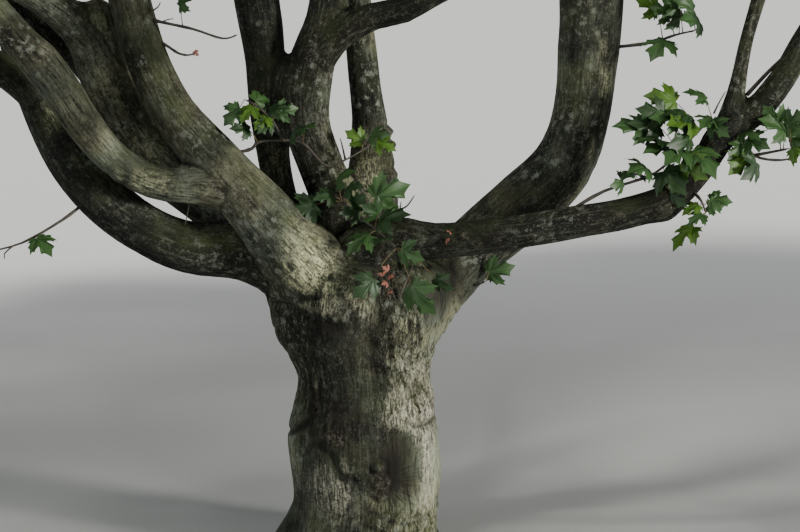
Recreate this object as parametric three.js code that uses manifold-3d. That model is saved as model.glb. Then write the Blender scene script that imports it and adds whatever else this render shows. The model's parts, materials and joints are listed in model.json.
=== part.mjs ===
// Cappadocian maple: a low-forked tree with nine boughs under a round crown.
// Millimetres, +Z up. The origin is on the flat cut at ground level, on the trunk's axis.
// Left and right are as seen from the front, which looks along +Y.
import * as THREE from "three";
import Module from "manifold-3d";

const wasm = await Module();
wasm.setup();

// Clearance between neighbouring pieces
const GAP = 0.3;

// Colour and roughness of each material
const BARK = [0x6e6656, 0.92];
const LEAF = [0x4f7d2e, 0.6];
const LEAF_BRIGHT = [0x6c9a36, 0.6];

// Trunk outline: height, middle x, half width, half depth
const TRUNK_SIDES = 26;
const TRUNK_RINGS = [
  [0, -17, 217, 205],
  [32, -16, 204, 190],
  [75, -8, 193, 178],
  [130, 0, 184, 172],
  [210, -3, 189, 174],
  [288, -6, 190, 174],
  [360, -7, 182, 168],
  [432, -5, 170, 160],
  [487, -14, 181, 164],
  [537, -22, 205, 176],
  [600, -18, 224, 188],
  [660, -12, 216, 184],
  [712, -6, 186, 162],
  [744, -4, 108, 96],
];
const FLARE = { lobes: 5, turn: 0.6, depth: 15, height: 110 };
const FURROW = { x: 38, z: 195, depth: 24, across: 34, tall: 78 };

// Boughs in the order they are seated: places the middle runs through and the radius there.
// The limb carries on by rule from its last place to the foliage it feeds.
const BOUGHS = [
  {
    name: "shoulder",
    through: [
      [-40, -12, 600, 122],
      [-150, -60, 725, 101],
      [-240, -70, 835, 81],
      [-310, -65, 915, 70],
      [-395, -45, 1010, 57],
      [-470, -30, 1098, 50],
      [-533, -15, 1220, 48],
      [-580, 0, 1375, 48],
    ],
    split: 4,
    parts: ["bough_shoulder", "bough_left_upright"],
    feeds: "high_2",
    sides: 9,
  },
  {
    name: "right",
    fine: 2,
    through: [
      [60, 40, 575, 121],
      [185, 75, 675, 91],
      [285, 100, 760, 80],
      [400, 125, 860, 79],
      [490, 143, 950, 75],
      [545, 150, 1090, 70],
      [562, 155, 1240, 77],
      [570, 160, 1395, 82],
    ],
    split: 5,
    parts: ["bough_right_lower", "bough_right_upper"],
    feeds: "high_0",
    sides: 9,
  },
  {
    name: "low_left",
    through: [
      [-90, 20, 650, 92],
      [-300, 0, 752, 72],
      [-440, -10, 764, 65],
      [-560, -15, 815, 62],
      [-660, -10, 895, 62],
      [-752, 8, 1020, 62],
      [-812, 45, 1135, 57],
      [-868, 90, 1265, 50],
      [-935, 140, 1410, 45],
    ],
    split: 4,
    parts: ["bough_low_left_lower", "bough_low_left_upper"],
    feeds: "low_4",
    sides: 8,
  },
  {
    name: "centre",
    through: [
      [-35, 15, 700, 92],
      [-75, 35, 850, 70],
      [-108, 42, 950, 60],
      [-148, 45, 1075, 57],
      [-140, 45, 1200, 57],
      [-98, 38, 1325, 47],
      [-82, 35, 1430, 44],
    ],
    parts: ["bough_centre"],
    feeds: "high_3",
    sides: 8,
  },
  {
    name: "back_upright",
    through: [
      [-120, 80, 660, 72],
      [-195, 112, 820, 52],
      [-235, 120, 945, 47],
      [-252, 108, 1080, 48],
      [-262, 100, 1230, 49],
      [-275, 95, 1410, 50],
    ],
    parts: ["bough_back_upright"],
    feeds: "high_1",
    sides: 8,
  },
  {
    name: "rear",
    through: [
      [30, 70, 680, 92],
      [12, 140, 850, 70],
      [14, 160, 955, 59],
      [8, 166, 1050, 46],
      [-10, 170, 1210, 39],
      [-25, 175, 1385, 35],
    ],
    parts: ["bough_rear"],
    feeds: "low_2",
    sides: 8,
  },
  {
    name: "back_left",
    through: [
      [-190, 60, 690, 76],
      [-385, 100, 855, 61],
      [-520, 105, 960, 50],
      [-596, 105, 1060, 48],
      [-652, 106, 1175, 48],
      [-712, 90, 1295, 40],
      [-790, 70, 1365, 36],
      [-870, 60, 1410, 35],
    ],
    parts: ["bough_back_left"],
    feeds: "mid_2",
    sides: 8,
  },
  {
    name: "front_left",
    through: [
      [-290, -68, 905, 60],
      [-405, -90, 925, 44],
      [-520, -106, 938, 38],
      [-612, -118, 995, 39],
      [-682, -130, 1080, 41],
      [-755, -145, 1195, 45],
      [-818, -160, 1270, 43],
      [-885, -175, 1350, 43],
    ],
    split: 3,
    parts: ["bough_front_left_lower", "bough_front_left_upper"],
    feeds: "mid_3",
    sides: 8,
  },
  {
    name: "level",
    through: [
      [-25, -30, 725, 88],
      [65, -75, 793, 53],
      [170, -96, 791, 41],
      [320, -110, 808, 40],
      [500, -120, 838, 38],
      [660, -120, 868, 35],
      [752, -118, 905, 34],
      [818, -110, 972, 34],
      [878, -105, 1062, 38],
      [950, -100, 1108, 34],
      [1022, -93, 1190, 32],
      [1095, -85, 1305, 30],
    ],
    split: 5,
    parts: ["bough_level_lower", "bough_level_upper"],
    feeds: "low_0",
    sides: 8,
  },
  {
    name: "back_left_stub",
    through: [
      [-652, 112, 1200, 54],
      [-676, 110, 1285, 46],
      [-686, 106, 1352, 38],
      [-684, 102, 1388, 24],
    ],
    parts: ["bough_back_left_stub"],
    sides: 8,
  },
  {
    name: "low_left_fork",
    through: [
      [-800, 32, 1118, 46],
      [-868, 0, 1186, 42],
      [-952, -20, 1242, 37],
    ],
    parts: ["bough_low_left_fork"],
    feeds: "low_5",
    sides: 7,
  },
  {
    name: "back_left_fork",
    through: [
      [-640, 115, 1110, 32],
      [-725, 150, 1215, 30],
      [-800, 168, 1285, 28],
      [-872, 190, 1345, 25],
    ],
    parts: ["bough_back_left_fork"],
    feeds: "low_3",
    sides: 6,
  },
  {
    name: "centre_fork",
    through: [
      [-138, 42, 1195, 44],
      [-65, 10, 1290, 38],
      [20, -16, 1337, 33],
      [95, -38, 1354, 32],
      [165, -60, 1392, 30],
    ],
    parts: ["bough_centre_fork"],
    feeds: "low_7",
    sides: 7,
  },
  {
    name: "level_fork",
    through: [
      [876, -104, 1060, 30],
      [902, -100, 1150, 22],
      [922, -95, 1260, 17],
      [962, -88, 1410, 18],
    ],
    parts: ["bough_level_fork"],
    feeds: "inner_0",
    sides: 6,
  },
];

// Side limbs: the bough each leaves, how far along its unseen reach, the foliage it feeds
const SIDE_LIMBS = [
  ["limb_right_1", "right", 0.16, "low_1"],
  ["limb_right_2", "right", 0.34, "mid_0"],
  ["limb_right_3", "right", 0.52, "mid_5"],
  ["limb_back_1", "back_upright", 0.3, "mid_1"],
  ["limb_back_2", "back_upright", 0.62, "top_0"],
  ["limb_front_1", "centre", 0.14, "low_6"],
  ["limb_front_2", "centre", 0.42, "mid_4"],
];
const SIDE_SHARE = 0.66;
const SIDE_SIDES = 6;
const TIP_RADIUS = 25;
const REACH_STEPS = 6;
const REACH_PULL = 0.36;
const REACH_WANDER = 26;

// Crown tiers: masses of foliage in rings round the trunk's axis.
// Half sizes run outward, round the ring and up.
const TIERS = [
  { name: "low", count: 8, out: 2820, z: 2780, half: [1350, 1270, 1000], sprays: 18, first: 0 },
  { name: "mid", count: 6, out: 2420, z: 4420, half: [1400, 1400, 1100], sprays: 18, first: 30 },
  { name: "high", count: 4, out: 1400, z: 5900, half: [1300, 1230, 1050], sprays: 18, first: 20 },
  { name: "top", count: 1, out: 60, z: 7020, half: [1120, 1080, 860], sprays: 15, first: 0 },
  { name: "inner", count: 1, out: 1340, z: 2330, half: [620, 580, 480], sprays: 9, first: -12 },
];
const TIER_SWAY = { out: 120, z: 120, half: 0.06 };
const CELL_MARGIN = 14;

// Smallest detail kept on a mass where its twigs cross
const MASS_FINENESS = 0.8;

// Foliage: flat leaves that each stand for a spray, on three-sided twigs
const SPRAY = { length: 790, width: 700, thick: 10, widest: 0.45, fits: 950 };
const TWIG = { tip: 9, power: 0.45, most: 24 };

// Stem of a mass: shares of the way to its middle with the sideways swing there,
// and the spots on stem and twigs where further twigs may leave
const STEM = [[0.3, 0], [0.62, 40], [0.95, 60]];
const STEM_SPOTS = [0.5, 0.9];
const TWIG_SPOTS = [0.35, 0.65];

// Sprigs of single leaves on the lower limbs: twigs as places they run through,
// and leaves as the middle of the blade and its width
const SPRIG_TWIG = { root: 5.5, tip: 2.6 };
const STALK = 2.1;
const SPRIGS = {
  centre: {
    twigs: [
      [[-385, -46, 1002], [-257, -40, 1017], [-122, -42, 985], [-46, -22, 978], [18, 10, 1030]],
    ],
    leaves: [
      [-324, -60, 1099, 84], [-300, -80, 1066, 74], [-263, -50, 1124, 79], [-196, -50, 1108, 74],
      [-168, -75, 1058, 84], [-24, -20, 1040, 69], [46, -10, 1021, 74],
    ],
  },
  fork: {
    twigs: [
      [[-90, 20, 905], [-56, -62, 883], [-8, -95, 845], [29, -125, 820], [78, -150, 780]],
    ],
    leaves: [
      [-58, -70, 944, 76], [56, -90, 910, 108], [-23, -125, 893, 70], [-151, -95, 870, 93],
      [51, -140, 839, 98], [-12, -165, 800, 88], [107, -185, 771, 75], [131, -195, 664, 104],
      [187, -175, 696, 60], [3, -205, 695, 78],
    ],
  },
  level: {
    twigs: [
      [[485, -105, 856], [585, -90, 913], [709, -100, 959], [792, -112, 1041], [844, -115, 1096]],
    ],
    leaves: [
      [726, -125, 1144, 80], [809, -120, 1152, 62], [656, -135, 1076, 90], [696, -165, 1050, 77],
      [772, -175, 1046, 92], [763, -145, 1109, 72], [852, -160, 1076, 60], [741, -170, 953, 92],
      [669, -155, 978, 75], [620, -145, 938, 56],
    ],
  },
  under: {
    twigs: [[[793, -120, 921], [814, -162, 899], [826, -170, 868]]],
    leaves: [[772, -190, 820, 84], [802, -198, 862, 54], [847, -160, 883, 52]],
  },
  edge: {
    twigs: [
      [[908, -102, 1058], [951, -90, 1001], [1021, -85, 989], [1065, -80, 1003]],
      [[951, -90, 1001], [1041, -110, 1021]],
    ],
    leaves: [[912, -150, 992, 88], [944, -150, 1040, 78], [1000, -135, 1078, 97], [1052, -120, 1060, 83]],
  },
  top_right: {
    twigs: [[[600, 152, 1250], [715, 130, 1265], [778, 110, 1286], [828, 98, 1298]]],
    leaves: [[736, 85, 1264, 92], [711, 100, 1361, 74], [767, 80, 1338, 78], [820, 65, 1322, 86]],
  },
  left: {
    twigs: [[[-700, -15, 875], [-749, -60, 838], [-845, -90, 785], [-940, -105, 762]]],
    leaves: [[-792, -110, 786, 76]],
  },
  right: {
    twigs: [[[235, 70, 690], [265, 30, 662], [302, 10, 676]]],
    leaves: [[330, 0, 704, 80]],
  },
  upright: {
    twigs: [
      [[-540, -10, 1333], [-463, -50, 1315], [-405, -70, 1303], [-309, -90, 1292]],
      [[-520, -15, 1274], [-460, -42, 1258], [-416, -60, 1247]],
    ],
    leaves: [[-440, -80, 1378, 68]],
  },
};

// A leaf's rim as shares of its width, across and along from its base, right half
const LEAF_RIM = [[0.36, -0.1], [0.28, 0.14], [0.54, 0.42], [0.21, 0.5]];
const LEAF_MIDDLE = 0.26;
const LEAF_TIP = 0.98;
const LEAF_THICK = 0.03;
const LEAF_SCALE = 1.15;

const V = (x, y, z) => new THREE.Vector3(x, y, z);
const UP = V(0, 0, 1);
const mix = (a, b, t) => a + (b - a) * t;

// Seeded numbers from 0 to 1
function seeded(seed) {
  let state = seed >>> 0;
  return () => {
    state = (state + 0x6d2b79f5) >>> 0;
    let t = Math.imul(state ^ (state >>> 15), 1 | state);
    t = (t + Math.imul(t ^ (t >>> 7), 61 | t)) ^ t;
    return ((t ^ (t >>> 14)) >>> 0) / 4294967296;
  };
}

// A solid from points and triangles
function solid(points, triangles) {
  const vertProperties = new Float32Array(points.flatMap((p) => [p.x, p.y, p.z]));
  const triVerts = new Uint32Array(triangles.flat());
  return new wasm.Manifold(new wasm.Mesh({ numProp: 3, vertProperties, triVerts }));
}

// The biggest body of a solid, without loose scraps
function biggest(body) {
  const bodies = body.decompose();
  return bodies.reduce((best, one) => (one.volume() > best.volume() ? one : best));
}

// A closed skin over rings of equal count, with flat ends or a pointed far one
function skin(rings, tip) {
  const sides = rings[0].length;
  const triangles = [];
  for (let k = 0; k + 1 < rings.length; k++) {
    for (let i = 0; i < sides; i++) {
      const j = (i + 1) % sides;
      const [a, b] = [k * sides + i, k * sides + j];
      triangles.push([a, b, b + sides], [a, b + sides, a + sides]);
    }
  }
  const last = (rings.length - 1) * sides;
  for (let i = 1; i + 1 < sides; i++) {
    triangles.push([0, i + 1, i]);
    if (!tip) triangles.push([last, last + i, last + i + 1]);
  }
  if (!tip) return solid(rings.flat(), triangles);
  for (let i = 0; i < sides; i++) {
    triangles.push([last + i, last + ((i + 1) % sides), last + sides]);
  }
  return solid([...rings.flat(), tip], triangles);
}

// How far the front furrow of the trunk is let in at a place on its skin
function furrowDepth(x, y, z) {
  if (y > 0) return 0;
  const across = (x - FURROW.x) / FURROW.across;
  const along = (z - FURROW.z) / FURROW.tall;
  return FURROW.depth * Math.exp(-across * across - along * along);
}

// The trunk from its flat cut to its fork, grown by a clearance where it cuts its boughs
function trunkSolid(extra) {
  const rings = TRUNK_RINGS.map(([z, middle, half, depth], k) => {
    const fade = Math.max(0, 1 - z / FLARE.height);
    const ring = [];
    for (let i = 0; i < TRUNK_SIDES; i++) {
      const angle = (i / TRUNK_SIDES) * 2 * Math.PI;
      const lobe = FLARE.depth * fade * Math.cos(FLARE.lobes * (angle + FLARE.turn));
      const x = (half + lobe + extra) * Math.cos(angle);
      const y = (depth + lobe + extra) * Math.sin(angle);
      const inward = furrowDepth(x + middle, y, z) / Math.hypot(x, y);
      const rise = k + 1 === TRUNK_RINGS.length ? extra : 0;
      ring.push(V(middle + x * (1 - inward), y * (1 - inward), z + rise));
    }
    return ring;
  });
  return skin(rings);
}

// A place on the smooth curve through rows of numbers
function curveAt(rows, s) {
  const i = Math.min(Math.floor(s), rows.length - 2);
  const t = s - i;
  const row = (k) => rows[Math.max(0, Math.min(rows.length - 1, k))];
  const [a, b, c, d] = [row(i - 1), row(i), row(i + 1), row(i + 2)];
  return b.map((v, k) => {
    const first = c[k] - a[k];
    const second = 2 * a[k] - 5 * v + 4 * c[k] - d[k];
    const third = 3 * v - 3 * c[k] + d[k] - a[k];
    return v + 0.5 * t * (first + t * (second + t * third));
  });
}

// Stations with their directions from rows of x, y, z, radius
function stations(rows) {
  const points = rows.map(([x, y, z]) => V(x, y, z));
  return rows.map((row, i) => {
    const before = points[Math.max(0, i - 1)];
    const after = points[Math.min(points.length - 1, i + 1)];
    return { p: points[i], r: row[3], dir: after.clone().sub(before).normalize() };
  });
}

// The rings of a tapering limb round its stations, grown outward by a clearance
function limbRings(row, sides, extra) {
  const out = extra / Math.cos(Math.PI / sides);
  let side = V(0, 1, 0).cross(row[0].dir).normalize();
  return row.map(({ p, r, dir }, k) => {
    side = side.clone().addScaledVector(dir, -side.dot(dir)).normalize();
    const other = dir.clone().cross(side);
    const shift = k === 0 ? -extra : k === row.length - 1 ? extra : 0;
    const ring = [];
    for (let i = 0; i < sides; i++) {
      const angle = (i / sides) * 2 * Math.PI;
      const point = p.clone().addScaledVector(dir, shift);
      point.addScaledVector(side, (r + out) * Math.cos(angle));
      ring.push(point.addScaledVector(other, (r + out) * Math.sin(angle)));
    }
    return ring;
  });
}

// The masses of foliage, worked out tier by tier
function crownMasses() {
  const masses = {};
  TIERS.forEach((tier, t) => {
    for (let i = 0; i < tier.count; i++) {
      const random = seeded(100 * (t + 1) + i);
      const sway = (size) => size * (2 * random() - 1);
      const angle = ((tier.first + (360 * i) / tier.count) * Math.PI) / 180;
      const out = tier.count > 1 ? tier.out + sway(TIER_SWAY.out) : tier.out;
      const middle = V(out * Math.cos(angle), out * Math.sin(angle), tier.z);
      if (tier.count > 1) middle.z += sway(TIER_SWAY.z);
      const axes = [V(Math.cos(angle), Math.sin(angle), 0), V(-Math.sin(angle), Math.cos(angle), 0), UP];
      const half = tier.half.map((size) => size * (1 + sway(TIER_SWAY.half)));
      const seed = 1000 * (t + 1) + 7 * i;
      const scale = Math.min(1, half[2] / SPRAY.fits);
      masses[`${tier.name}_${i}`] = { middle, axes, half, scale, sprays: tier.sprays, seed };
    }
  });
  return masses;
}

// How far a mass reaches from its middle in a direction
function reachAlong(mass, dir) {
  const parts = mass.axes.map((axis, k) => (dir.dot(axis) / mass.half[k]) ** 2);
  return 1 / Math.sqrt(parts[0] + parts[1] + parts[2]);
}

// Whether a place lies in the space a mass keeps to itself
function inSpace(mass, place) {
  const from = place.clone().sub(mass.middle);
  const far = from.length();
  if (far > 1 && far > reachAlong(mass, from.clone().normalize()) - CELL_MARGIN) return false;
  return mass.walls.every(({ dir, far: wall }) => from.dot(dir) < wall - CELL_MARGIN);
}

// The planes that part each mass from its neighbours
function raiseWalls(masses) {
  for (const one of masses) {
    one.walls = masses
      .filter((other) => other !== one)
      .map((other) => {
        const line = other.middle.clone().sub(one.middle);
        const dir = line.clone().normalize();
        const [mine, theirs] = [reachAlong(one, dir), reachAlong(other, dir)];
        return { dir, far: (line.length() * mine) / (mine + theirs) };
      });
  }
}

// Rows that carry a limb on from its last row to the edge of the mass it feeds
function reachRows(last, heading, mass, steps, random) {
  const start = V(last[0], last[1], last[2]);
  const back = start.clone().sub(mass.middle).normalize();
  back.z -= 0.25;
  back.normalize();
  const entry = mass.middle.clone().addScaledVector(back, reachAlong(mass, back) * 0.97);
  const pull = REACH_PULL * start.distanceTo(entry);
  const bend = start.clone().addScaledVector(heading, pull);
  const ease = entry.clone().addScaledVector(back, pull);
  const curve = new THREE.CubicBezierCurve3(start, bend, ease, entry);
  const rows = [];
  for (let k = 1; k <= steps; k++) {
    const t = k / steps;
    const p = curve.getPoint(t);
    const wander = REACH_WANDER * Math.sin(Math.PI * t);
    p.x += wander * (2 * random() - 1);
    p.y += wander * (2 * random() - 1);
    rows.push([p.x, p.y, p.z, mix(last[3], TIP_RADIUS, t ** 0.8)]);
  }
  return rows;
}

// A bough: smooth through its places, then on to its mass
function boughRows(bough, masses, random) {
  const { through, feeds } = bough;
  const rows = [];
  const step = 1 / (bough.fine || 1);
  for (let s = 0; s < through.length - 1; s += step) rows.push(curveAt(through, s));
  const last = through[through.length - 1];
  rows.push(last);
  const heading = V(...last).sub(V(...through[through.length - 2])).normalize();
  bough.seen = rows.length - 1;
  if (!feeds) return rows;
  return rows.concat(reachRows(last, heading, masses[feeds], REACH_STEPS, random));
}

// A side limb that leaves its bough part of the way along the unseen reach
function sideRows(parent, along, mass, random) {
  const span = parent.rows.length - 1 - parent.seen;
  const s = parent.seen + along * span;
  const first = curveAt(parent.rows, s);
  const next = curveAt(parent.rows, Math.min(s + 0.5, parent.rows.length - 1));
  first[3] *= SIDE_SHARE;
  const start = V(...first);
  const onward = V(...next).sub(start).normalize();
  const heading = onward.add(mass.middle.clone().sub(start).normalize()).normalize();
  return [first, ...reachRows(first, heading, mass, REACH_STEPS, random)];
}

// Distance from a place to the skin of a limb
function clearance(place, limb) {
  let nearest = Infinity;
  for (let i = 0; i + 1 < limb.row.length; i++) {
    const [a, b] = [limb.row[i], limb.row[i + 1]];
    const line = b.p.clone().sub(a.p);
    const from = place.clone().sub(a.p);
    const t = Math.max(0, Math.min(1, from.dot(line) / line.lengthSq()));
    const far = from.addScaledVector(line, -t).length() - mix(a.r, b.r, t);
    nearest = Math.min(nearest, far);
  }
  return nearest;
}

// Whether a straight line keeps clear of the limbs and inside its space
function clearLine(a, b, radius, mass, limbs) {
  for (let k = 1; k <= 8; k++) {
    const place = a.clone().lerp(b, k / 8);
    if (!inSpace(mass, place)) return false;
    if (limbs.some((limb) => clearance(place, limb) < radius + 6)) return false;
  }
  return true;
}

// Directions spread evenly over a mass for its sprays, each with a share of its reach
function sprayAims(mass, random) {
  const turn = 2 * Math.PI * random();
  const golden = Math.PI * (3 - Math.sqrt(5));
  const aims = [];
  for (let i = 0; i < mass.sprays; i++) {
    const up = 1 - (2 * i + 1) / mass.sprays;
    const flat = Math.sqrt(1 - up * up);
    const angle = turn + golden * i;
    const out = V(0, 0, 0);
    [flat * Math.cos(angle), flat * Math.sin(angle), up].forEach((size, k) => {
      out.addScaledVector(mass.axes[k], size);
    });
    const share = i % 5 === 2 ? mix(0.36, 0.46, random()) : mix(0.72, 0.84, random());
    aims.push({ out, share, size: mix(0.88, 1.12, random()), sway: [random(), random()] });
  }
  return aims;
}

// The best spot on the twigs already there for a new one: near by and pointing its way
function bestSpot(place, twigs, mass, limbs) {
  const spots = [];
  twigs.forEach((twig, parent) => {
    const along = twig.to.clone().sub(twig.from).normalize();
    for (const at of parent < STEM.length ? STEM_SPOTS : TWIG_SPOTS) {
      const p = twig.from.clone().lerp(twig.to, at);
      const line = place.clone().sub(p);
      const far = line.length();
      const bend = 1 - line.normalize().dot(along);
      if (far > 130) spots.push({ p, parent, cost: far * (1 + 0.6 * bend) });
    }
  });
  spots.sort((a, b) => a.cost - b.cost);
  return spots.slice(0, 8).find(({ p }) => clearLine(p, place, 16, mass, limbs));
}

// A twig to a spray's aim, let in from the edge of the mass until the whole spray fits
function aimTwig(aim, twigs, mass, limbs) {
  for (let share = aim.share; share > 0.25; share -= 0.08) {
    const far = reachAlong(mass, aim.out) * share;
    const to = mass.middle.clone().addScaledVector(aim.out, far);
    const spot = inSpace(mass, to) && bestSpot(to, twigs, mass, limbs);
    if (!spot) continue;
    const twig = { from: spot.p, to, parent: spot.parent };
    twig.spray = sprayAt(twig, aim, mass.scale);
    if (!sprayFits(twig.spray, mass, limbs)) continue;
    if (!twigs.some((other) => other.spray && tangled(twig, other))) return twig;
  }
  return null;
}

// The twigs of a mass: a stem to its middle, then a twig for each spray, inner ones first
function growTwigs(mass, limb, limbs) {
  const random = seeded(mass.seed);
  const end = limb.row[limb.row.length - 1];
  const inward = mass.middle.clone().sub(end.p);
  const twigs = [];
  let from = end.p.clone().addScaledVector(end.dir, GAP);
  STEM.forEach(([share, swing], k) => {
    const to = end.p.clone().addScaledVector(inward, share);
    to.x += swing * (2 * random() - 1);
    to.y += swing * (2 * random() - 1);
    twigs.push({ from, to, parent: k - 1 });
    from = to;
  });
  const entry = inward.normalize();
  const aims = sprayAims(mass, random);
  const order = (aim) => aim.share * (1.4 + aim.out.dot(entry));
  aims.sort((a, b) => order(a) - order(b));
  for (const aim of aims) {
    const twig = aimTwig(aim, twigs, mass, limbs);
    if (twig) twigs.push(twig);
  }
  return twigs;
}

// Radii by the number of sprays each twig carries
function thicken(twigs) {
  const load = twigs.map((twig) => (twig.spray ? 1 : 0));
  for (let i = twigs.length - 1; i > 0; i--) {
    if (twigs[i].parent >= 0) load[twigs[i].parent] += load[i];
  }
  twigs.forEach((twig, i) => {
    twig.r = Math.min(TWIG.tip * load[i] ** TWIG.power, TWIG.most);
  });
}

// The spray at the end of a twig: laid along the edge of the mass and hanging a little
function sprayAt({ from, to }, { out, size, sway }, scale) {
  const dir = to.clone().sub(from).normalize();
  dir.addScaledVector(out, 0.1 - 0.75 * dir.dot(out)).addScaledVector(UP, -0.22);
  dir.x += 0.5 * (sway[0] - 0.5);
  dir.y += 0.5 * (sway[1] - 0.5);
  dir.normalize();
  const face = out.clone().addScaledVector(UP, 0.5);
  face.addScaledVector(dir, -face.dot(dir)).normalize();
  const across = dir.clone().cross(face);
  const long = SPRAY.length * size * scale;
  const middle = to.clone().addScaledVector(dir, SPRAY.widest * long);
  const half = 0.5 * SPRAY.width * size * scale;
  return {
    root: to,
    dir,
    face,
    right: middle.clone().addScaledVector(across, half),
    ridge: middle.clone().addScaledVector(face, SPRAY.thick),
    left: middle.clone().addScaledVector(across, -half),
    tip: to.clone().addScaledVector(dir, long),
  };
}

// Whether a spray keeps to its space and clear of every limb
function sprayFits({ root, right, left, tip }, mass, limbs) {
  if (![right, left, tip].every((corner) => inSpace(mass, corner))) return false;
  for (let i = 0; i <= 8; i++) {
    const wide = 1 - Math.abs(i / 4 - 1);
    for (let j = -2; j <= 2; j++) {
      const edge = right.clone().sub(left).multiplyScalar((wide * j) / 4);
      const place = root.clone().lerp(tip, i / 8).add(edge);
      if (limbs.some((limb) => clearance(place, limb) < 45)) return false;
    }
  }
  return true;
}

// Whether the line from a to b passes through the triangle p, q, s
function pierces(a, b, p, q, s) {
  const [u, v, line] = [q.clone().sub(p), s.clone().sub(p), b.clone().sub(a)];
  const cross = line.clone().cross(v);
  const det = u.dot(cross);
  if (Math.abs(det) < 1e-6) return false;
  const from = a.clone().sub(p);
  const x = from.dot(cross) / det;
  const turned = from.cross(u);
  const y = line.dot(turned) / det;
  const t = v.dot(turned) / det;
  return x > 0 && y > 0 && x + y < 1 && t > 0 && t < 1;
}

// The outline of a spray and the line of its twig, from a little past the twig it leaves
function sprayLines({ from, to, spray }) {
  const { root, right, tip, left } = spray;
  const start = from.clone().lerp(to, 0.1);
  return [[root, right], [right, tip], [tip, left], [left, root], [start, to]];
}

// Whether two twigs with sprays run through one another
function tangled(one, other) {
  const cuts = (lines, { root, right, tip, left }) => {
    const hit = ([a, b]) => pierces(a, b, root, right, tip) || pierces(a, b, root, tip, left);
    return lines.some(hit);
  };
  return cuts(sprayLines(one), other.spray) || cuts(sprayLines(other), one.spray);
}

// A three-sided twig that ends in its spray, as one closed skin
function twigSolid(twig, rootRadius, spray) {
  const dir = twig.to.clone().sub(twig.from).normalize();
  const face = spray ? spray.face : V(0, 1, 0).cross(dir).normalize();
  const side = face.clone().addScaledVector(dir, -face.dot(dir)).normalize();
  const across = dir.clone().cross(side);
  const ring = (p, r) => [-120, 0, 120].map((turn) => {
    const angle = (turn * Math.PI) / 180;
    const point = p.clone().addScaledVector(side, r * Math.cos(angle));
    return point.addScaledVector(across, r * Math.sin(angle));
  });
  const rings = [ring(twig.from, rootRadius), ring(twig.to, twig.r)];
  if (!spray) return skin(rings);
  return skin([...rings, [spray.left, spray.ridge, spray.right]], spray.tip);
}

// A mass of foliage as one solid
function massSolid(mass, limb, limbs) {
  const twigs = growTwigs(mass, limb, limbs);
  thicken(twigs);
  const end = limb.row[limb.row.length - 1];
  const stem = twigs.slice(0, STEM.length);
  const row = stem.map(({ to, from, r }) => ({ p: to, r, dir: to.clone().sub(from).normalize() }));
  const bodies = [skin(limbRings([{ ...end, p: stem[0].from }, ...row], 5, 0))];
  for (const twig of twigs.slice(STEM.length)) {
    const rootRadius = Math.min(twig.r, 0.5 * twigs[twig.parent].r);
    bodies.push(twigSolid(twig, rootRadius, twig.spray));
  }
  return biggest(wasm.Manifold.union(bodies)).simplify(MASS_FINENESS);
}

// The nearest place on a sprig's twigs to a leaf
function nearestOnTwigs(place, twigs) {
  let best = { far: Infinity };
  for (const twig of twigs) {
    for (let i = 0; i + 1 < twig.length; i++) {
      const [a, b] = [twig[i], twig[i + 1]];
      const line = b.clone().sub(a);
      const t = Math.max(0.1, Math.min(0.98, place.clone().sub(a).dot(line) / line.lengthSq()));
      const p = a.clone().addScaledVector(line, t);
      const far = p.distanceTo(place);
      if (far < best.far) best = { far, p };
    }
  }
  return best.p;
}

// A single lobed leaf with its stalk, hung from the nearest place on its twig
function leafSolid([x, y, z, size], twigs, random) {
  const width = LEAF_SCALE * size;
  const from = nearestOnTwigs(V(x, y, z), twigs);
  const away = V(x, y, z).sub(from);
  away.setLength(Math.max(away.length(), 0.62 * width));
  const middle = from.clone().add(away);
  const dir = away.normalize().multiplyScalar(0.9);
  dir.add(V(0.45 * Math.sign(dir.x), -0.12, -0.3)).normalize();
  const face = V(0.6 * (random() - 0.5), -0.8, 0.45);
  face.addScaledVector(dir, -face.dot(dir)).normalize();
  const across = dir.clone().cross(face);
  const base = middle.clone().addScaledVector(dir, -0.4 * width);
  const at = (u, v, lift) => {
    const curl = -0.35 * (u * u + (v - LEAF_MIDDLE) ** 2);
    const point = base.clone().addScaledVector(across, u * width);
    point.addScaledVector(dir, v * width);
    return point.addScaledVector(face, (lift + curl) * width);
  };
  const end = at(0, 0, 0);
  const ring = (p) => [[0, 1], [0.9, -0.5], [-0.9, -0.5]].map(([u, v]) => {
    return p.clone().addScaledVector(across, u * STALK).addScaledVector(face, v * STALK);
  });
  const right = LEAF_RIM.map(([u, v]) => at(u, v, 0));
  const left = LEAF_RIM.map(([u, v]) => at(-u, v, 0)).reverse();
  const middles = [at(0, LEAF_MIDDLE, LEAF_THICK / 2), at(0, LEAF_MIDDLE, -LEAF_THICK / 2)];
  const points = [...ring(from), ...ring(end), ...right, at(0, LEAF_TIP, 0), ...left, ...middles];
  const [top, bottom] = [points.length - 2, points.length - 1];
  const faces = [[0, 2, 1], [0, 1, 4], [0, 4, 3], [1, 2, 5], [1, 5, 4], [2, 0, 3], [2, 3, 5]];
  const under = [4, ...Array.from({ length: top - 6 }, (_, i) => i + 6), 5];
  const over = [3, ...under];
  over.forEach((a, i) => faces.push([a, over[(i + 1) % over.length], top]));
  under.forEach((a, i) => faces.push([under[(i + 1) % under.length], a, bottom]));
  return solid(points, faces);
}

// A sprig as one solid, cut clear of the limbs
function sprigSolid({ twigs, leaves }, random, cutters) {
  const paths = twigs.map((twig) => twig.map(([x, y, z]) => V(x, y, z)));
  const bodies = paths.map((path) => {
    const radius = (k) => mix(SPRIG_TWIG.root, SPRIG_TWIG.tip, k / (path.length - 1));
    return skin(limbRings(stations(path.map((p, k) => [p.x, p.y, p.z, radius(k)])), 3, 0));
  });
  for (const leaf of leaves) bodies.push(leafSolid(leaf, paths, random));
  let body = wasm.Manifold.union(bodies);
  for (const cutter of cutters) body = body.subtract(cutter);
  return biggest(body);
}

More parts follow.
